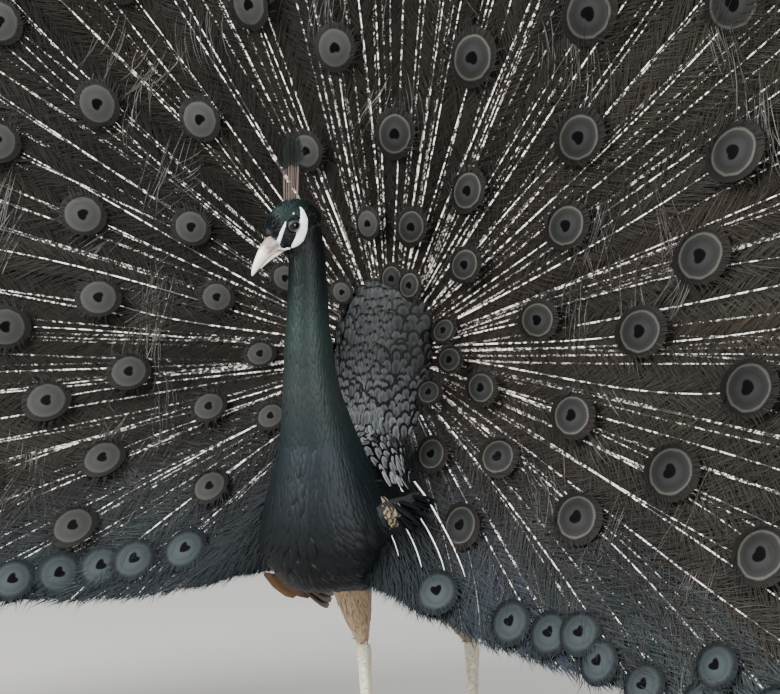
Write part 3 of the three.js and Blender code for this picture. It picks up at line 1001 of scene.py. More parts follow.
def slanted_barbs(material, slant):
    """Places along a vane for a pattern of barbs that slant outward from the shaft."""
    vane = add_node(material, "UVMap", uv_map="Vane")
    split = add_node(material, "SeparateXYZ", {0: vane}, "X").node.outputs
    off = add_node(material, "Math", {0: split["X"], 1: 0.5}, operation="SUBTRACT")
    away = add_node(material, "Math", {0: off}, operation="ABSOLUTE")
    values = {0: away, 1: slant, 2: split["Y"]}
    slanted = add_node(material, "Math", values, operation="MULTIPLY_ADD")
    return add_node(material, "CombineXYZ", {"X": slanted})


# Brown keratin, matt, with close barbs that slant from the shaft.
brown_vane = shaded("brown_tail_keratin", Roughness=0.6)
slanted = {"Vector": slanted_barbs(brown_vane, -0.16), "Scale": 130, "Detail": 2}
lines = add_node(brown_vane, "TexNoise", slanted, "Fac", noise_dimensions="3D")
level = add_node(brown_vane, "MapRange", {"Value": lines, "To Min": 0.37, "To Max": 1.04})
feed(brown_vane, Base_Color=toned(brown_vane, level))

# Off-white keratin of feather shafts, smooth and a little glossy, broken every few millimetres by
# the dark roots of barbs.
shaft_horn = shaded("feather_shaft_keratin", Roughness=0.4)
where = add_node(shaft_horn, "TexCoord", output="Object")
spotted = {"Vector": where, "Scale": 170, "Detail": 2, "Roughness": 0.6}
spots = add_node(shaft_horn, "TexNoise", spotted, "Fac")
stretches = add_node(shaft_horn, "TexNoise", {"Vector": where, "Scale": 14, "Detail": 1}, "Fac")
shown = add_node(shaft_horn, "Math", {0: stretches, 1: 0.3, 2: spots}, operation="MULTIPLY_ADD")
gaps = add_node(shaft_horn, "MapRange", {"Value": shown, "From Min": 0.645, "From Max": 0.69})
tint = add_node(shaft_horn, "Attribute", attribute_name="Tint")
worn = add_node(shaft_horn, "Mix", {0: gaps, 6: linear("1c1816"), 7: tint}, 2, data_type="RGBA")
feed(shaft_horn, Base_Color=worn)

SHAFT = blade([(i / 12, 1) for i in range(12)] + [(1, 0.4)])
TAIL_VANE = vane_shape(6, 12, 0.86, 0.06, 0.3)
angles = np.linspace(-TAIL_SPREAD, TAIL_SPREAD, TAIL_COUNT)
for name, side in SIDES:
    mine = angles[angles * side > 0]
    tail_chance = np.random.default_rng(58)
    mine = mine + tail_chance.normal(0, 1.2, len(mine))
    layer = 3 + 1.6 * np.abs(mine) / 12 % 5
    tail_end = TAIL_LENGTH - tail_chance.uniform(0, 16, len(mine))
    vanes = along_fan(
        TAIL_VANE,
        mine,
        TAIL_START,
        tail_end,
        lambda y: 30 + 62 * y,
        layer,
        varied(flat_shade("2f2721", len(mine)), 0.2, 22),
        apex=TAIL_MIDDLE,
        relief=0.6,
    )
    # Each vane is painted darker towards both its edges: painted shade between neighbouring
    # feathers.
    vanes["tint"] = vanes["tint"] * (1.25 - 1.5 * np.abs(vanes["vane"][:, :1] - 0.5))
    shafts = along_fan(
        SHAFT,
        mine,
        TAIL_START,
        tail_end - 8,
        lambda y: 3.2 - 2.6 * y,
        layer + 3,
        varied(flat_shade("6d6055", len(mine)), 0.06, 23),
        apex=TAIL_MIDDLE,
        relief=2.4,
    )
    joined(f"tail_vanes_{name}", [vanes], brown_vane, [f"tail_{name}"])
    joined(f"tail_shafts_{name}", [shafts], shaft_horn)

# ---- Train ----
# About two hundred and eighty long keratin feathers, rooted in tiers over the lower back. Each is
# an off-white shaft with loose dark barbs on both sides. Most end in an eye-spot, the longest in a
# fork, and the lowest are dense blue-grey webs.

# The first tiers give each eye-spot's angle, the lowest its distance and angle, the outer ones a
# count.
TIERS = [
    (82, [-39, 4, 22, 68, 117]),
    (92, [-84, 90, -152]),
    (142, [-124, -94, -58, -10, 12, 44, 101, 138]),
    (205, [-111, -76, 28, 76, 119]),
    (238, [-134, -25, 1, 139]),
    (268, [-62, 56, 100]),
    (294, [-98]),
    (336, [-115, -83, -43, -12, 17, 44, 82, 117]),
    (390, [-125, -102, -70]),
    (412, [-25, 72, 103]),
    (440, [-90, -54, 33, 128]),
    (480, [-112, -8, 12, 61, 90]),
    (520, [-80, -66, -40, -24]),
    (558, [-122, -100, 47, 76, 107]),
    (592, [-90, -54, -14, 4, 26, 118]),
]
LOW_DISTANCES = {
    "left": [301, 374, 414, 482, 543, 610, 680],
    "right": [302, 352, 386, 428, 475, 530, 600, 675],
}
LOW_ANGLES = {
    "left": [148, 137, 132, 128, 125, 121, 117],
    "right": [143, 137, 134, 131, 128, 125, 121, 117],
}
OUTER_TIERS = [(650, 11), (715, 12), (780, 12), (845, 12), (910, 13), (975, 13), (1040, 14)]
FORK_COUNT = 62
EDGE_COUNT = 24
SECTOR = RIM_ANGLES[-1] / 5
# The low web starts at this angle, and its eye-spots lie this near the rim, each of this radius.
LOW_FROM = 112
LOW_BAND = 110
LOW_RADIUS = 20
# The angles of the forked feathers and of the ones along the low edges.
FORK_SPREAD = 106
EDGE_SPREAD = (109, 165)
# From the first feathers' ends to the last ones' the fan is this deep. Each feather drifts and
# curves sideways by some degrees, the longer ones the most.
FAN_DEPTH = 12
DRIFT = 2.2
CURVE = 1.5
FULLY_LOOSE = 400

chance = np.random.default_rng(31)
spots = [(angle, distance) for distance, tier in TIERS for angle in tier]
for name, side in SIDES:
    spots += [(side * angle, far) for far, angle in zip(LOW_DISTANCES[name], LOW_ANGLES[name])]
for i, (distance, count) in enumerate(OUTER_TIERS):
    limit = np.interp(distance, [630, 740, 880, 1000, 1080], [114, 111, 105, 97, 87])
    for j in range(count):
        share = (j + (0.25 if i % 2 else 0.75)) / count * 2 - 1
        spots.append((share * limit + chance.normal(0, 1.6), distance + chance.normal(0, 12)))
spot_angle, spot_distance = np.array(spots, float).T
spot_sizes = [12.5, 17, 24, 27.5, 29, 28]
spot_radius = np.interp(spot_distance, [70, 140, 300, 420, 700, 1050], spot_sizes)
low_spot = spot_distance > eased(RIM, np.abs(spot_angle)) - LOW_BAND
low_spot &= np.abs(spot_angle) > LOW_FROM
spot_radius[low_spot] = LOW_RADIUS
fork_angle = np.linspace(-FORK_SPREAD, FORK_SPREAD, FORK_COUNT) + chance.normal(0, 1, FORK_COUNT)
fork_end = eased(RIM, np.abs(fork_angle)) - 14 + chance.normal(0, 6, FORK_COUNT)
edge_angle = np.concatenate([s * np.linspace(*EDGE_SPREAD, EDGE_COUNT) for s in (-1, 1)])
edge_end = eased(RIM, np.abs(edge_angle)) - 8

SPOTTED, FORKED, EDGE = range(3)
feather_angle = np.concatenate([spot_angle, fork_angle, edge_angle])
feather_end = np.concatenate([spot_distance - 0.3 * spot_radius, fork_end, edge_end])
feather_tip = np.concatenate([spot_distance + 0.6 * spot_radius, fork_end, edge_end])
feather_kind = np.repeat([SPOTTED, FORKED, EDGE], [len(spot_angle), FORK_COUNT, 2 * EDGE_COUNT])
feather_back = feather_end / FAN_REACH * FAN_DEPTH - FAN_DEPTH / 2
feather_back = feather_back + chance.normal(0, 1.6, len(feather_end))
looseness = np.clip(feather_end / FULLY_LOOSE, 0, 1)
feather_drift = chance.normal(0, DRIFT, len(feather_end)) * looseness
feather_curve = chance.normal(0, CURVE, len(feather_end)) * looseness


def sector_of(angle):
    """The sector of the train at an angle: 0 to 4 on the left, 5 to 9 on the right."""
    place = np.clip((np.abs(angle) / SECTOR).astype(int), 0, 4)
    return np.where(angle >= 0, place, place + 5)


# Loose barbs of dark keratin, brown with a faint sheen: each is a fine flattened thread, a
# millimetre wide here where real ones are half that, and their small side barbs are left out.
barb_keratin = figured(
    "train_barb_keratin",
    "Vane",
    "TexWave",
    {"Scale": 2.2, "Distortion": 2, "Detail": 2},
    {"To Min": 0.51, "To Max": 0.88},
    figure={"bands_direction": "X"},
    Roughness=0.6,
    Specular_IOR_Level=0.1,
)

BARB = blade([(0, 0), (0.3, 1), (1, 0)])
STRAND = blade([(0, 0), (0.25, 1), (0.5, 1), (0.75, 0.8), (1, 0)])
BARBS_FROM = 58

# Each feather is a little redder, greener or more violet than the next, and where the barbs turn to
# the light, towards the left and low down, the whole fan is painted paler: painted light.
feather_hue = np.array([[1.14, 0.98, 0.9], [0.94, 1.04, 0.92], [1.0, 1.0, 1.1], [1.0, 1.0, 1.0]])
feather_hue = feather_hue[chance.integers(0, 4, len(feather_end))]
feather_hue = feather_hue * np.exp(chance.normal(0, 0.12, (len(feather_end), 1)))
PAINTED_CATCH_ANGLES = [-160, -125, -95, -60, 0, 50, 110, 160]
PAINTED_CATCH = [1.3, 1.1, 0.76, 0.78, 0.74, 1.2, 1.7, 1.5]
BARB_SHADES = ["211b17", "221f1b", "262520", "272724"]


def painted_catch(distance, angle):
    """How pale the fan is painted at a place, against its middle, in soft patches: painted light.
    """
    x, z = distance * np.sin(np.radians(angle)), distance * np.cos(np.radians(angle))
    patchy = np.sin(x / 61 + 1.3 * np.sin(z / 83)) * np.sin(z / 47 + 1.7 * np.sin(x / 71))
    return np.interp(angle, PAINTED_CATCH_ANGLES, PAINTED_CATCH) * (1 + 0.28 * patchy)


def rim_reach(angle):
    """How far the fan's rim is from its apex at an angle."""
    return eased(RIM, np.clip(np.abs(angle), 0, RIM_ANGLES[-1]))


def barbs(spacing, length, width, lift, depth, seed):
    """Barbs at both sides of every shaft: what repeated takes for them, and each one's feather."""
    chance = np.random.default_rng(seed)
    gaps = spacing * np.where(feather_kind == EDGE, 0.55, 1)
    counts = ((feather_end - BARBS_FROM) / gaps).astype(int)
    which = np.repeat(np.arange(len(counts)), 2 * counts)
    share = np.concatenate([np.repeat((np.arange(count) + 0.5) / count, 2) for count in counts])
    side = np.tile([-1.0, 1.0], len(which) // 2)
    end = feather_end[which]
    distance = BARBS_FROM + (end - BARBS_FROM) * share + chance.normal(0, spacing * 0.3, len(which))
    angle = feather_angle[which] + feather_drift[which] * (1 - share) ** 2
    angle = angle + feather_curve[which] * 4 * share * (1 - share)
    back = feather_back[which] + depth + chance.normal(0, 1.5, len(which))
    root = fan_point(distance, angle, back)
    outward, across, front = fan_ways(distance, angle)
    slope = np.interp(share, [0, 0.6, 1], [52, 42, 26])
    slope = np.radians(slope + chance.normal(0, 7, len(which)))
    rise = np.radians(lift + chance.normal(0, 4, len(which)))
    way = outward * np.cos(slope)[:, None] + across * (side * np.sin(slope))[:, None]
    way = way * np.cos(rise)[:, None] + front * np.sin(rise)[:, None]
    reach = length * np.interp(distance, [58, 160, 500, 1100], [0.4, 0.75, 1.05, 1.55])
    reach *= np.interp(end, [80, 300], [0.55, 1]) * chance.uniform(0.75, 1.15, len(which))
    reach *= np.interp(share, [0, 0.85, 1], [1, 1, 0.8])
    tip = distance + reach * np.cos(slope)
    tip_angle = angle + side * np.degrees(reach * np.sin(slope) / np.maximum(distance, 60))
    reach *= np.clip((rim_reach(tip_angle) - distance) / np.maximum(tip - distance, 1), 0.12, 1)
    size = width * np.interp(distance, [58, 400, 1100], [0.7, 1, 1.7])

    # Low down the barbs are blue-grey towards the rim.
    outer = np.clip(distance / rim_reach(angle) - 0.35, 0, 0.5)[:, None] * 2
    lower = np.clip((np.abs(angle) - LOW_FROM) / 14, 0, 1)[:, None] * (0.35 + 0.65 * outer)
    tone = mixed_shades(distance, [60, 250, 600, 1100], BARB_SHADES)
    tone = tone * (1 - lower) + flat_shade("262b2f", len(which)) * lower
    # Painted light: the fan is paler where its barbs turn to the light.
    tone = tone * feather_hue[which] * painted_catch(distance, angle)[:, None]
    tone = varied(tone, 0.2, seed + 1)
    sweep = side * chance.normal(-0.1, 0.06, len(which))
    return (root, way, front, size, reach, tone, fan_patch(distance, angle)), sweep, which


for layer, settings, hides in (
    ("webs", (5.4, 54, 2.0, -2, 2.5, 43), True),
    ("barbs", (3.2, 50, 0.75, 4, -1.5, 41), False),
):
    values, sweep, which = barbs(*settings)
    for sector in range(10):
        place = f"{'left' if sector < 5 else 'right'}_{sector % 5 + 1}"
        mine = sector_of(feather_angle[which]) == sector
        copies = repeated(BARB, *(v[mine] for v in values), bow=0.02, sweep=sweep[mine])
        hidden = [f"train_{place}"] if hides else ()
        joined(f"train_{layer}_{place}", [copies], barb_keratin, hidden)

# Bunches of long loose barbs that hang out of line over the others.
BUNCHES = 170
BUNCH = 14
BUNCH_WIDTH = 20
DEGREES = 57.3
strand_chance = np.random.default_rng(55)
angle = strand_chance.uniform(-125, 128, BUNCHES)
distance = eased(RIM, np.abs(angle)) * np.sqrt(strand_chance.uniform(0.05, 0.75, BUNCHES))
slant = strand_chance.normal(0.25, 0.35, BUNCHES)
bow = strand_chance.normal(0, 0.25, BUNCHES)
reach = strand_chance.uniform(35, 80, BUNCHES)
which = np.repeat(np.arange(BUNCHES), BUNCH)
sideways = strand_chance.normal(0, BUNCH_WIDTH, len(which)) / distance[which]
angle = angle[which] + sideways * DEGREES
distance = distance[which] + strand_chance.normal(0, 10, len(which))
outward, across, front = fan_ways(distance, angle)
hang = np.stack([np.sign(angle) * slant[which], 0 * angle, -1 + 0 * angle], axis=1)
hang = hang + strand_chance.normal(0, 0.07, hang.shape)
copies = repeated(
    STRAND,
    fan_point(distance, angle, -3.0),
    unity(hang - front * (hang * front).sum(axis=1, keepdims=True)) + front * 0.05,
    front,
    0.85,
    reach[which] * strand_chance.uniform(0.6, 1.1, len(which)),
    varied(flat_shade("4b4846", len(which)), 0.4, 56),
    fan_patch(distance, angle),
    sweep=bow[which] + strand_chance.normal(0, 0.06, len(which)),
)
joined("train_loose_barbs", [copies], barb_keratin)

# The fan's lower edges: many short feathers side by side make one soft close web, which swells
# forward over the folded wing.
LOW_WEB = 9500
LOW_WEB_SPAN = 52
SWELL = 46


def bulge(distance, angle):
    """How far forward of the fan the lowest web swells, in millimetres."""
    near = np.clip((np.abs(angle) - 146) / 12, 0, 1)
    return SWELL * near * np.sin(np.pi * np.clip((distance / rim_reach(angle) - 0.2) / 0.8, 0, 1))


for name, side in SIDES:
    web_chance = np.random.default_rng(44)
    angle = side * (RIM_ANGLES[-1] - LOW_WEB_SPAN * web_chance.random(LOW_WEB) ** 1.3)
    rim = eased(RIM, np.abs(angle))
    distance = rim * np.sqrt(web_chance.uniform(0.06, 0.97, LOW_WEB))
    length = 38 * np.clip(distance / 220, 0.5, 1.1)
    swing = np.radians(web_chance.normal(0, 12, LOW_WEB))
    length = np.minimum(length, np.maximum(6, (rim - distance) / np.cos(swing)))
    root = fan_point(distance, angle, web_chance.uniform(-4, 5, LOW_WEB) - bulge(distance, angle))
    outward, across, front = fan_ways(distance, angle)
    lay = outward * np.cos(swing)[:, None] + across * np.sin(swing)[:, None] + front * 0.04
    outer = np.clip((distance / rim - 0.35) / 0.5, 0, 1)[:, None]
    # Painted shade: the web on the bird's right is darker, and lightens less towards the rim, than
    # on its left.
    tone = flat_shade("15181a", LOW_WEB) * (1 - outer)
    tone = tone + flat_shade("282e32" if side > 0 else "20262a", LOW_WEB) * outer
    tone = tone * np.interp(distance, [230, 480], [0.9, 1.9 if side > 0 else 1.4])[:, None]
    copies = repeated(
        BARB,
        root,
        lay,
        front,
        1.3,
        length,
        varied(tone, 0.07, 49),
        fan_patch(distance, angle),
        sweep=web_chance.normal(0, 0.12, LOW_WEB),
    )
    joined(f"train_edge_web_{name}", [copies], barb_keratin)

# The close inner part of each vane, right beside its shaft, with barbs drawn three millimetres
# apart.
vane_keratin = shaded("train_vane_keratin", Roughness=0.65, Specular_IOR_Level=0.1)
slanted = slanted_barbs(vane_keratin, -0.05)
wavy = {"Vector": slanted, "Scale": 60, "Distortion": 3, "Detail": 3, "Detail Scale": 4}
strands = add_node(vane_keratin, "TexWave", wavy, "Fac")
level = add_node(vane_keratin, "MapRange", {"Value": strands, "To Min": 0.26, "To Max": 0.88})
feed(vane_keratin, Base_Color=toned(vane_keratin, level))
BACKING = blade([(i / 10, 0.3 + 0.07 * i) for i in range(10)] + [(1, 0.1)])
RIM_TIP = [(0.9, 0.95), (0.95, 0.75), (0.98, 0.45), (1, 0.05)]
RIM_VANE = blade([(i / 10, 0.35 + 0.07 * i) for i in range(9)] + RIM_TIP)

for name, side in SIDES:
    chosen = feather_angle >= 0 if side > 0 else feather_angle < 0
    count = chosen.sum()
    angle, back = feather_angle[chosen], feather_back[chosen]
    bent = {"drift": feather_drift[chosen], "curve": feather_curve[chosen]}
    tint = varied(flat_shade("211c1a", count), 0.2, 54)
    end = feather_end[chosen]
    widening = {"width": lambda y: 12 + 34 * y, "relief": 0.05}
    backing = along_fan(BACKING, angle, 60, end, back=back + 5, tint=tint, **widening, **bent)
    behind = np.sort(feather_angle[chosen & (feather_kind == FORKED)])
    shoulder = np.array([0.3, 109, 112, 115, 118]) * side
    behind = np.concatenate([behind, behind[:-1] + np.diff(behind) / 2, shoulder])
    number = np.arange(len(behind))
    reach = eased(RIM, np.abs(behind)) - 34 - 24 * (number % 2)
    tint = varied(flat_shade("1f1b19", len(behind)), 0.2, 57)
    rims = along_fan(
        RIM_VANE, behind, 250, reach, lambda y: 46 + 30 * y, 7 + 3 * (number % 3), tint, relief=0.05
    )
    joined(f"train_vanes_{name}", [backing, rims], vane_keratin)
    # The lowest shafts on the bird's left lie buried in the soft web, and are painted darker:
    # painted shade.
    tint = varied(flat_shade("f1ebe2", count), 0.08, 45) * np.where(angle > 137, 0.15, 1)[:, None]
    tip = feather_tip[chosen]
    tapering = {"width": lambda y: 2.2 - 1.1 * y, "relief": 1.6}
    shafts = along_fan(SHAFT, angle, 40, tip, back=back - 2, tint=tint, **tapering, **bent)
    tint = flat_shade("8d8276", len(behind))
    spines = along_fan(SHAFT, behind, 150, reach - 8, lambda y: 2.8 - 1.6 * y, 15, tint)
    joined(f"train_shafts_{name}", [shafts, spines], shaft_horn)

# Smooth bare keratin, faintly streaked along its length.
bare_shaft = figured(
    "bare_shaft_keratin",
    "Object",
    "TexNoise",
    {"Scale": 60, "Detail": 2},
    {"To Min": 0.75, "To Max": 1.1},
    Roughness=0.4,
)

# Four long bare shafts cross the web beside the left wing in one slow curve.
BARE_ANGLES = np.array([142.0, 146.0, 150.0, 154.0])
BARE_STARTS = np.array([164.0, 164.0, 166.0, 170.0])
BARE_ENDS = np.array([298.0, 284.0, 268.0, 248.0])
BARE_DRIFT = 6
bare = along_fan(
    SHAFT,
    BARE_ANGLES,
    BARE_STARTS,
    BARE_ENDS,
    lambda y: 2.0 - 1.2 * y,
    -12,
    flat_shade("e8e4dc", len(BARE_ANGLES)),
    drift=BARE_DRIFT,
    relief=1.4,
)
reach = bare["vane"][:, 1]
which = np.repeat(np.arange(len(BARE_ANGLES)), len(SHAFT[0]))
distance = BARE_STARTS[which] + (BARE_ENDS - BARE_STARTS)[which] * reach
bare["at"][:, 1] -= bulge(distance, BARE_ANGLES[which] + BARE_DRIFT * (1 - reach) ** 2) / 1000
joined("train_bare_shafts", [bare], bare_shaft)


# ---- Eye-spots ----
# Flat discs where the barbs of a feather's end lock together: a black heart notched towards the
# root, in a grey disc with a pale line and a dark edge, and loose barbs all round.
def disc_shape():
    """A closed thin egg-shaped lens, one long and one wide, its broad end outward."""
    shape = bmesh.new()
    bmesh.ops.create_uvsphere(shape, u_segments=20, v_segments=8, radius=0.5)
    for v in shape.verts:
        broad = 0.94 + 0.12 * v.co.y
        dome = -0.16 * (v.co.x**2 + v.co.y**2)
        v.co = (v.co.x * broad, v.co.y + 0.5, v.co.z * 0.016 + dome)
    return unit(shape)


DISC = disc_shape()
LOCK = blade([(0, 0), (0.25, 0.9), (0.7, 1), (1, 0)])
SPOT_LENGTH = 1.16
SPOT_RISE = 11
FRINGE = 56
FRINGE_AT = 0.84
FORK_BARBS = 44
FORK_SWING = 58
FORK_DEPTH = 26
RING_PLACES = {
    "eye_spots_left": [0, 0.34, 0.56, 0.7, 0.76, 0.825, 0.88, 0.96],
    "eye_spots_right": [0, 0.34, 0.56, 0.72, 0.775, 0.82, 0.88, 0.96],
    "low_eye_spots": [0, 0.4, 0.6, 0.7, 0.78, 0.88, 1],
}
# Lighter discs and a fainter pale line on the bird's right than on its left: painted sheen.
RING_SHADES = {
    "eye_spots_left": "333434 2e2f2f 252524 2a2b29 4c4c47 1a1917 1d1b19 211e1c",
    "eye_spots_right": "373836 3a3b39 353634 3b3c3a 41413e 232220 201f1d 232120",
    "low_eye_spots": "40474a 3c4345 343a3c 393f41 2f3436 202527 1d2225",
}


def spot_satin(name, notch):
    """Barbules packed close in fine layers that shine like satin, in rings round a heart."""
    material = shaded(f"{name}_satin", Roughness=0.6, Specular_IOR_Level=0.03)
    vane = add_node(material, "UVMap", uv_map="Vane")
    grain = add_node(material, "TexNoise", {"Vector": vane, "Scale": 5, "Detail": 3}, "Fac")
    centred = {"Vector": vane, "Location": (-1, -1, 0), "Scale": (2, 2, 0)}
    middle = add_node(material, "Mapping", centred)
    reach = add_node(material, "VectorMath", {0: middle}, "Value", operation="LENGTH")
    worn = add_node(material, "Math", {0: grain, 1: 0.12, 2: reach}, operation="MULTIPLY_ADD")
    rings = add_node(material, "ValToRGB", {"Fac": worn})
    stops = rings.node.color_ramp.elements
    while len(stops) < len(RING_PLACES[name]):
        stops.new(0.5)
    for stop, place, code in zip(stops, RING_PLACES[name], RING_SHADES[name].split()):
        stop.position = place
        stop.color = linear(code)
    split = add_node(material, "SeparateXYZ", {0: middle}, "X").node.outputs
    lobe = add_node(material, "Math", {0: split["X"]}, operation="ABSOLUTE")
    lobe_span = {"Value": lobe, "From Min": 0.04, "From Max": 0.25, "To Max": 1}
    lobe_off = add_node(material, "MapRange", lobe_span, clamp=False)
    sunk = add_node(material, "Math", {0: lobe, 1: notch, 2: split["Y"]}, operation="MULTIPLY_ADD")
    sunk_span = {"Value": sunk, "From Min": 0.02, "From Max": 0.22, "To Max": 1}
    sunk_off = add_node(material, "MapRange", sunk_span, clamp=False)
    heart_at = add_node(material, "CombineXYZ", {"X": lobe_off, "Y": sunk_off})
    heart = add_node(material, "VectorMath", {0: heart_at}, "Value", operation="LENGTH")
    inside = add_node(material, "MapRange", {"Value": heart, "From Min": 0.85, "From Max": 1.1})
    marks = {0: inside, 6: linear("020202"), 7: rings}
    marked = add_node(material, "Mix", marks, 2, data_type="RGBA")
    feed(material, Base_Color=toned(material, marked))
    return material


outward, across, front = fan_ways(spot_distance, spot_angle)
count = len(spot_angle)
lift = SPOT_RISE + bulge(spot_distance, spot_angle)
centre = fan_point(spot_distance, spot_angle, feather_back[:count] - lift)
tilt = chance.normal(0, 0.1, (2, count, 1))
facing = unity(front + across * tilt[0] + outward * tilt[1])
spot_radius = spot_radius * np.where(low_spot, 1.2, np.where(spot_angle < 0, 0.96, 1.16))
foot = centre - outward * (spot_radius * SPOT_LENGTH / 1000)[:, None]
cell, cell_size = own_cells(count)
for name, notch, chosen in (
    ("eye_spots_left", 0.3, ~low_spot & (spot_angle >= 0)),
    ("eye_spots_right", 0.35, ~low_spot & (spot_angle < 0)),
    ("low_eye_spots", 0.55, low_spot),
):
    width = spot_radius[chosen] * 2
    tint = varied(np.ones((chosen.sum(), 3)), 0.08, 46)
    places = (v[chosen] for v in (foot, outward, facing))
    long = width * SPOT_LENGTH
    discs = repeated(DISC, *places, width, long, tint, cell[chosen], patch_size=cell_size)
    # The pale line fades out towards the root of each feather, and shows on the left, where the
    # light catches the fan; there each disc is also painted paler to one side: painted light.
    painted_light_side = 0.3 * (discs["vane"][:, :1] - 0.5) * (name == "eye_spots_left")
    discs["tint"] = discs["tint"] * (0.46 + 0.46 * discs["vane"][:, 1:] + 0.74 * painted_light_side)
    joined(name, [discs], spot_satin(name, notch))

turns = np.tile(np.linspace(0, 2 * math.pi, FRINGE, endpoint=False), count)
which = np.repeat(np.arange(count), FRINGE)
turns = turns + chance.normal(0, 0.08, len(turns))
ray = outward[which] * np.cos(turns)[:, None] + across[which] * np.sin(turns)[:, None]
fringe = repeated(
    BARB,
    centre[which] + ray * (spot_radius[which] * FRINGE_AT / 1000)[:, None] + front[which] * 0.0006,
    ray * 0.8 + outward[which] * 0.6 - front[which] * 0.14,
    front[which],
    1.2,
    spot_radius[which] * chance.uniform(0.3, 0.95, len(which)),
    varied(np.where(low_spot[which][:, None], linear("15191c")[:3], linear("191715")[:3]), 0.3, 47),
    fan_patch(spot_distance[which], spot_angle[which]),
    sweep=chance.normal(0, 0.25, len(which)),
)
forks = np.nonzero(feather_kind == FORKED)[0]
which = np.repeat(forks, FORK_BARBS)
spread = np.tile(np.linspace(-1, 1, FORK_BARBS), len(forks))
end, angle = feather_end[which], feather_angle[which]
outward, across, front = fan_ways(end, angle)
swing = np.radians(FORK_SWING) * spread
fork = repeated(
    LOCK,
    fan_point(end - FORK_DEPTH * (1 - np.abs(spread)), angle, feather_back[which]),
    outward * np.cos(swing)[:, None] + across * np.sin(swing)[:, None],
    front,
    2.6,
    26 + 24 * np.abs(spread),
    varied(flat_shade("222320", len(which)), 0.2, 48),
    fan_patch(end, angle),
    sweep=-0.12 * np.sign(spread),
)
joined("eye_spot_fringes", [fringe, fork], barb_keratin)


# ---- Eyes ----
# A dark brown eye with a wide pupil under a clear wet cornea. It sits in the side of the head, half
# closed in by bare wrinkled lids.
def ball_shape():
    """A round ball one wide, its middle at the start of its length."""
    shape = bmesh.new()
    bmesh.ops.create_uvsphere(shape, u_segments=32, v_segments=20, radius=0.5)
    return unit(shape)


def lid_shape(wide, high, rows, columns):
    """A ring of lid round an almond opening of half angles wide and high, on a ball one wide."""
    shape = bmesh.new()
    bmesh.ops.create_grid(shape, x_segments=columns, y_segments=rows, size=0.5)
    for v in shape.verts:
        a = 2 * math.pi * (round((v.co.x + 0.5) * columns) % columns) / columns
        part = v.co.y + 0.5
        opening = 1 / math.hypot(math.cos(a) / wide, math.sin(a) / high)
        polar = math.radians(opening + (98 - opening) * part)
        lip = 0.54 + 0.035 * math.sin(math.pi * min(1, part * 1.6)) - 0.05 * part**2
        fold = 0.006 * math.cos(part * 22)
        flat = math.sin(polar) * (lip + fold)
        v.co = (math.cos(a) * flat, math.cos(polar) * (lip + fold), math.sin(a) * flat)
    bmesh.ops.remove_doubles(shape, verts=shape.verts, dist=1e-4)
    bmesh.ops.recalc_face_normals(shape, faces=shape.faces)
    bmesh.ops.solidify(shape, geom=shape.faces[:], thickness=0.03)
    return unit(shape)


BALL = ball_shape()
LID = lid_shape(50, 32, 8, 40)
LID_SHADES = ["0b0b0c", "2c2b2a", "7d7977"]

# The cornea is smooth and wet; iris and pupil lie right under it.
wet_eye = shaded("wet_cornea_and_iris", Roughness=0.06, Specular_IOR_Level=0.22)
vane = add_node(wet_eye, "UVMap", uv_map="Vane")
split = add_node(wet_eye, "SeparateXYZ", {0: vane}, "X").node.outputs
flecks = add_node(wet_eye, "TexNoise", {"Vector": vane, "Scale": 30, "Detail": 2}, "Fac")
brown = {0: flecks, 6: linear("0f0a07"), 7: linear("261a11")}
iris = add_node(wet_eye, "Mix", brown, 2, data_type="RGBA")
pupil_span = {"Value": split["Y"], "From Min": 0.4, "From Max": 0.415}
pupil_edge = add_node(wet_eye, "MapRange", pupil_span)
with_pupil = {0: pupil_edge, 6: iris, 7: linear("050505")}
seen = add_node(wet_eye, "Mix", with_pupil, 2, data_type="RGBA")
iris_edge = add_node(wet_eye, "MapRange", {"Value": split["Y"], "From Min": 0.26, "From Max": 0.31})
with_edge = {0: iris_edge, 6: linear("0d0a08"), 7: seen}
feed(wet_eye, Base_Color=add_node(wet_eye, "Mix", with_edge, 2, data_type="RGBA"))

# Bare skin, thin and dry, in fine folds round the eye and in small grains on the white marks.
bare_skin = figured(
    "bare_face_skin",
    "Object",
    "TexVoronoi",
    {"Scale": 900},
    {"To Min": 1.05, "To Max": 0.7},
    output="Distance",
    bump=(0.5, 0.0004),
    sunk=True,
    Roughness=0.55,
    Subsurface_Weight=0.15,
    Subsurface_Scale=0.002,
)

for name, side in SIDES:
    eye_at = np.array([EYE_AT[0], side * EYE_AT[1], EYE_AT[2]])
    outward = head_turned @ np.array([[0.12], [side], [0]])
    upward = head_turned @ np.array([[-0.35], [0], [1]])
    middle = np.array([[0.5, 0.5]])
    for shape, piece, shade, material, replaced in (
        (BALL, f"eyeball_{name}", "ffffff", wet_eye, [f"eye_{name}"]),
        (LID, f"eyelids_{name}", "6e6a68", bare_skin, ()),
    ):
        copies = repeated(
            shape,
            metres(in_head([eye_at])),
            outward.T,
            upward.T,
            2 * EYE_RADIUS,
            2 * EYE_RADIUS,
            flat_shade(shade, 1),
            middle,
            patch_size=1.6,
        )
        if shape is LID:
            off = to_head(millimetres(copies["at"])) - eye_at
            pale = np.clip(0.45 - off[:, 0] * 0.05 - off[:, 2] * 0.09, 0, 1)
            pale = pale * np.clip((copies["vane"][:, 1] - 0.12) / 0.25, 0, 1)
            copies["tint"] = mixed_shades(pale, [0, 0.5, 1], LID_SHADES)
        joined(piece, [copies], material, replaced)

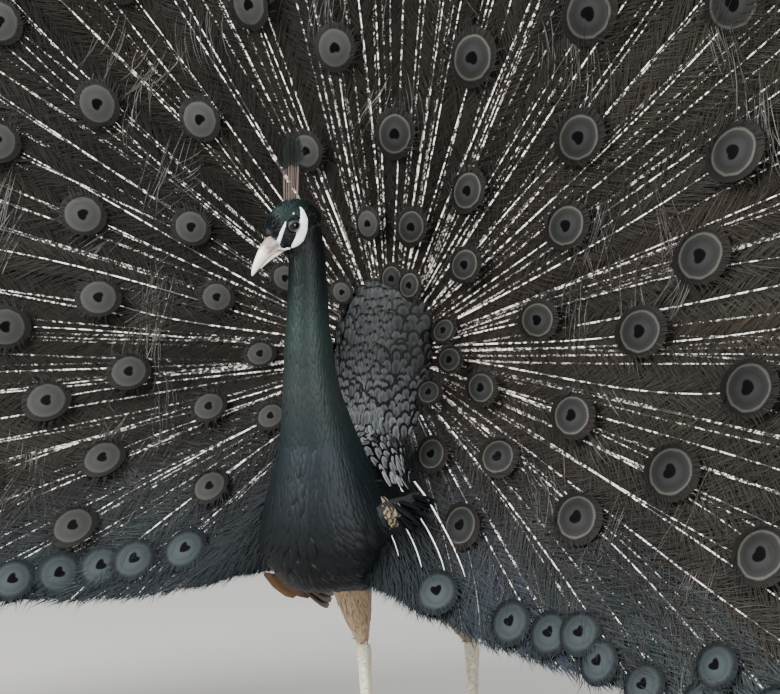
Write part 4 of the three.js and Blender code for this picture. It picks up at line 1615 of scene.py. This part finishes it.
# ---- Face ----
# Bare white skin: a wedge from the bill up to the brow, and a crescent behind and below the eye.
# Between them the lores are black. Each mark is [forward, up, half width], on the side of the head.
MARKS = {
    "brow": [
        (14, 12.5, 0.3),
        (19, 9, 1.3),
        (25.5, 5, 2),
        (31, 0.6, 2),
        (35.5, -3.6, 1.8),
        (38, -7, 1.2),
    ],
    "crescent": [
        (-8.5, 14.5, 0.3),
        (-6, 9, 2.6),
        (-2, 2, 5),
        (6, -6, 5.8),
        (13.5, -11.2, 5.6),
        (20, -13.2, 3.6),
        (25, -14.2, 1.2),
    ],
    "gape": [(38, -6.5, 0.8), (34, -9.4, 1.7), (29, -12.2, 1.3), (24.5, -14.2, 0.8)],
    "lid_spot": [(2.6, 13.4, 0.5), (3.5, 13, 0.9), (4.4, 12.6, 0.5)],
}
MARK_ROWS = 30
MARK_COLUMNS = 10


def lay_mark(shape, stations, side):
    """Adds a thin raised sheet over the skin of one side of the head, along stations."""
    before = len(shape.verts)
    bmesh.ops.create_grid(shape, x_segments=MARK_COLUMNS, y_segments=MARK_ROWS, size=0.5)
    shape.verts.ensure_lookup_table()
    marks = np.array(stations, float)
    steps = np.arange(len(marks))
    new = shape.verts[before:]
    for v in new:
        t = (v.co.y + 0.5) * (len(marks) - 1)
        near = [np.interp(t + d, steps, marks[:, i]) for d in (-0.3, 0.3) for i in (0, 1)]
        forward, up, half = (np.interp(t, steps, marks[:, i]) for i in range(3))
        way = np.array([near[2] - near[0], near[3] - near[1]])
        way = way / max(1e-6, np.linalg.norm(way))
        forward -= way[1] * half * 2 * v.co.x
        up += way[0] * half * 2 * v.co.x
        start = metres(in_head([forward, side * 40, up]))
        ray = head_turned @ np.array([0, -side, 0])
        hit, normal, _, _ = skin_tree.ray_cast(Vector(start), Vector(ray))
        if hit is None:
            beside = metres(in_head([forward, side * 8, up]))
            hit, normal, _, _ = skin_tree.find_nearest(Vector(beside))
        rise = 0.0024 - 0.003 * (2 * v.co.x) ** 4 - 0.003 * (2 * v.co.y) ** 8
        v.co = hit + normal * rise
    faces = list({f for v in new for f in v.link_faces})
    bmesh.ops.recalc_face_normals(shape, faces=faces)
    facing = Vector(head_turned @ np.array([0, side, 0]))
    if sum(f.normal.dot(facing) for f in faces) < 0:
        bmesh.ops.reverse_faces(shape, faces=faces)


for name, side in SIDES:
    face = bmesh.new()
    for stations in MARKS.values():
        lay_mark(face, stations, side)
    mesh = bpy.data.meshes.new(f"white_face_skin_{name}")
    face.to_mesh(mesh)
    tinted(mesh, flat_shade("f2f2f4", len(mesh.vertices)))
    new_piece(mesh.name, mesh, bare_skin)

# ---- Bill ----
# Two jaws of pale horn over bone, the upper one hooked a little over the lower, with an open
# nostril in the browner cere at its base.
BILL_GRAIN = 0.0007
BILL_ROUNDS = 6
NOSTRIL = (43, 5.6, -0.6)
NOSTRIL_SHAPE = (1.5, 1.0, 0.75)
NOSTRIL_REACH = 3.2
NOSTRIL_DEPTH = 0.0022

# Smooth horn that lets a little light in, faintly stained in layers.
bill_horn = figured(
    "pale_bill_horn",
    "Object",
    "TexNoise",
    {"Scale": 350, "Detail": 4},
    {"To Min": 0.8, "To Max": 1.12},
    bump=(0.25, 0.0004),
    Roughness=0.38,
    Subsurface_Weight=0.1,
    Subsurface_Scale=0.002,
    Coat_Weight=0.1,
)


def part_mixed(share, code, other):
    """Colours that turn from one hex one to another by a share."""
    one, two = (flat_shade(c, len(share)) for c in (code, other))
    return one * (1 - share[:, None]) + two * share[:, None]


upper = moulded("upper_jaw", ["upper_bill"], BILL_GRAIN, BILL_ROUNDS)
at = vectors(upper.vertices, "co")
facing = vectors(upper.vertex_normals, "vector")
local = to_head(millimetres(at))
cere = np.clip((52 - local[:, 0]) / 7, 0, 1) * np.clip((local[:, 2] + 8) / 4, 0, 1)
shades = part_mixed(cere, "ded5cd", "85766f")
for _, side in SIDES:
    off = (local - np.array([NOSTRIL[0], side * NOSTRIL[1], NOSTRIL[2]])) / NOSTRIL_SHAPE
    near = np.clip(1 - np.linalg.norm(off, axis=1) / NOSTRIL_REACH, 0, 1)[:, None]
    at = at - facing * near**1.5 * NOSTRIL_DEPTH
    # The hollow of each nostril is also painted nearly black: painted shade in the hole.
    shades = shades * (1 - near * 0.9)
placed(upper, at)
tinted(upper, shades)
new_piece("upper_jaw", upper, bill_horn, ["upper_bill"])

# The lower jaw is shut up close under the upper one, which overhangs it.
lower = moulded("lower_jaw", ["lower_bill"], BILL_GRAIN, BILL_ROUNDS)
local = to_head(millimetres(vectors(lower.vertices, "co")))
local = local * [0.92, 0.86, 0.62] + [24 * (1 - 0.92), 0, -9.2 * (1 - 0.62)]
placed(lower, metres(in_head(local)))
tinted(lower, part_mixed(np.clip((40 - local[:, 0]) / 8, 0, 1), "ded5cd", "85766f"))
new_piece("lower_jaw", lower, bill_horn, ["lower_bill"])

# ---- Crest ----
# Some twenty bare pinkish-grey shafts that stand in a fan on the crown, each with a small tuft at
# its tip.
CREST_COUNT = 22
CREST_LENGTH = 65
CREST_BASE = (-8, 21)
CREST_LEAN = 38
CREST_OPEN = 1.5
TUFT = 13
TUFT_OPEN = 0.75
THREAD = blade([(0, 1), (0.5, 0.8), (1, 0.5)])

part = np.linspace(0, 1, CREST_COUNT)
lean = np.radians(CREST_LEAN + CREST_OPEN * (2 * part - 1))
crest_chance = np.random.default_rng(51)
out = crest_chance.uniform(-1, 1, CREST_COUNT)
foot = [CREST_BASE[0] - 14 * (part - 0.5), 2.2 * out, CREST_BASE[1] - 7.4 * (part - 0.5)]
root = metres(in_head(np.stack(foot, axis=1)))
way = np.stack([-np.sin(lean), 0.05 * out, np.cos(lean)], axis=1) @ head_turned.T
length = CREST_LENGTH * (0.9 + 0.08 * np.sin(math.pi * part))
length = length * crest_chance.uniform(0.93, 1, CREST_COUNT)
facing = np.tile(head_turned @ np.array([0.0, 1, 0]), (CREST_COUNT, 1))
patch = np.stack([0.1 + 0.8 * part, 0.5 + 0 * part], axis=1)
rise = unity(way) * length[:, None] / 1000
threads = [
    repeated(
        THREAD,
        root + rise * start,
        way,
        facing,
        width,
        length * share,
        varied(flat_shade(code, CREST_COUNT), 0.12, 52),
        patch,
    )
    for start, share, width, code in ((0, 0.62, 0.9, "6e6059"), (0.6, 0.4, 0.7, "2b2725"))
]
which = np.repeat(np.arange(CREST_COUNT), TUFT)
swing = np.tile(np.linspace(-TUFT_OPEN, TUFT_OPEN, TUFT), CREST_COUNT)
across = np.cross(facing, way)
share = 0.66 + 0.28 * (1 - np.abs(swing) / TUFT_OPEN)
tufts = repeated(
    BARB,
    root[which] + rise[which] * share[:, None],
    way[which] * np.cos(swing)[:, None] + across[which] * np.sin(swing)[:, None],
    facing[which],
    1.0,
    length[which] * 0.22,
    varied(flat_shade("0e1614", len(which)), 0.2, 53),
    patch[which],
)
joined("crest_feathers", [*threads, tufts], neck_gloss, ["crest"])

# ---- Legs ----
# Bare shanks and toes in a skin of horn scales: broad overlapping scutes down the front and along
# the top of the toes, small grains elsewhere. A spur stands at the back of each shank.
TOES = {"inner": (-36, 56), "middle": (2, 74), "outer": (38, 60), "hind": (176, 27)}
FOOT = {"left": (92, 118, 8), "right": (2, 54, 8)}
HOCK = {"left": (82, 136, 151), "right": (-16, 69, 149)}
SHANK_ROWS = 30
SHANK_SCUTE = 7.2
TOE_STEP = 4.2
SCUTE = vane_shape(4, 4, 0.45, 0.22)

# Dull horn in small grains, with sunk seams between them.
leg_horn = figured(
    "leg_scale_horn",
    "Object",
    "TexVoronoi",
    {"Scale": 420},
    {"From Max": 0.12, "To Min": 0.55, "To Max": 1.05},
    output="Distance",
    figure={"feature": "DISTANCE_TO_EDGE"},
    bump=(0.5, 0.0005),
    follows_level=True,
    Roughness=0.5,
)

# Smoother horn, with a darker free edge on each scute.
scute_horn = shaded("scute_horn", Roughness=0.42)
vane = add_node(scute_horn, "UVMap", uv_map="Vane")
along = add_node(scute_horn, "SeparateXYZ", {0: vane}, "Y")
edge = {"Value": along, "From Min": 0.7, "From Max": 1, "To Min": 1, "To Max": 0.5}
feed(scute_horn, Base_Color=toned(scute_horn, add_node(scute_horn, "MapRange", edge)))

# Dark horn of claws and spurs, worn smooth and a little paler at the tip.
claw_horn = figured(
    "claw_horn",
    "Object",
    "TexNoise",
    {"Scale": 500, "Detail": 3},
    {"To Min": 0.7, "To Max": 1.2},
    Roughness=0.35,
)

for name, side in SIDES:
    members = [f"shank_{name}", f"foot_{name}"]
    leg = moulded(f"bare_leg_{name}", members, 0.0015, 4)
    heights = vectors(leg.vertices, "co")[:, 2]
    tinted(leg, mixed_shades(heights, [0, 0.03, 0.15], ["7d766a", "aba390", "c2bca8"]))
    new_piece(leg.name, leg, leg_horn, members)

    leg.calc_loop_triangles()
    tree = BVHTree.FromPolygons(
        [v.co for v in leg.vertices], [list(t.vertices) for t in leg.loop_triangles]
    )
    # Each scute's place, the way outward there, the way it points and its width.
    foot, hock = np.array(FOOT[name], float), np.array(HOCK[name], float)
    down = (foot - hock) / np.linalg.norm(foot - hock)
    scutes = []
    for i in range(SHANK_ROWS):
        spot = hock + (foot - hock) * (0.04 + 0.9 * i / (SHANK_ROWS - 1))
        for column in (-1, 1):
            a = math.radians(-90 + 24 * column + (3 * column if i % 2 else 0))
            higher = np.array([0, 0, 2.0 * (column > 0)])
            scutes.append((spot + higher, [math.cos(a), math.sin(a), 0], down, SHANK_SCUTE))
    for turn, length in TOES.values():
        heading = math.radians(-90 + side * turn)
        ahead = np.array([math.cos(heading), math.sin(heading), 0])
        for i in range(int(length / TOE_STEP)):
            spot = foot * [1, 1, 0] + ahead * (6 + TOE_STEP * i) + np.array([0, 0, 3.0])
            scutes.append((spot, [0, 0, 1], ahead, 8.6 - 2.4 * i * TOE_STEP / length))
    spots, outs, downs, sizes = (np.array(values, float) for values in zip(*scutes))
    starts = metres(spots) + outs * 0.03
    hits = [tree.ray_cast(Vector(s), -Vector(o)) for s, o in zip(starts, outs)]
    met = [i for i, hit in enumerate(hits) if hit[0] is not None]
    facing = np.array([hits[i][1] for i in met])
    copies = repeated(
        SCUTE,
        np.array([hits[i][0] for i in met]) + facing * 0.0001,
        laid(facing, downs[met], 5),
        facing,
        sizes[met],
        sizes[met] * 0.95,
        varied(flat_shade("c4bfac", len(met)), 0.08, 61),
        np.stack([np.linspace(0.05, 0.95, len(met)), np.full(len(met), 0.5)], axis=1),
        bow=-0.08,
    )
    joined(f"scutes_{name}", [copies], scute_horn)

    for piece_name, members in (
        (f"claws_{name}", [f"claw_{name}_{toe}" for toe in TOES]),
        (f"leg_spur_{name}", [f"spur_{name}"]),
    ):
        horn = moulded(piece_name, members, 0.0006, 3)
        tinted(horn, flat_shade("4a433b", len(horn.vertices)))
        new_piece(piece_name, horn, claw_horn, members)
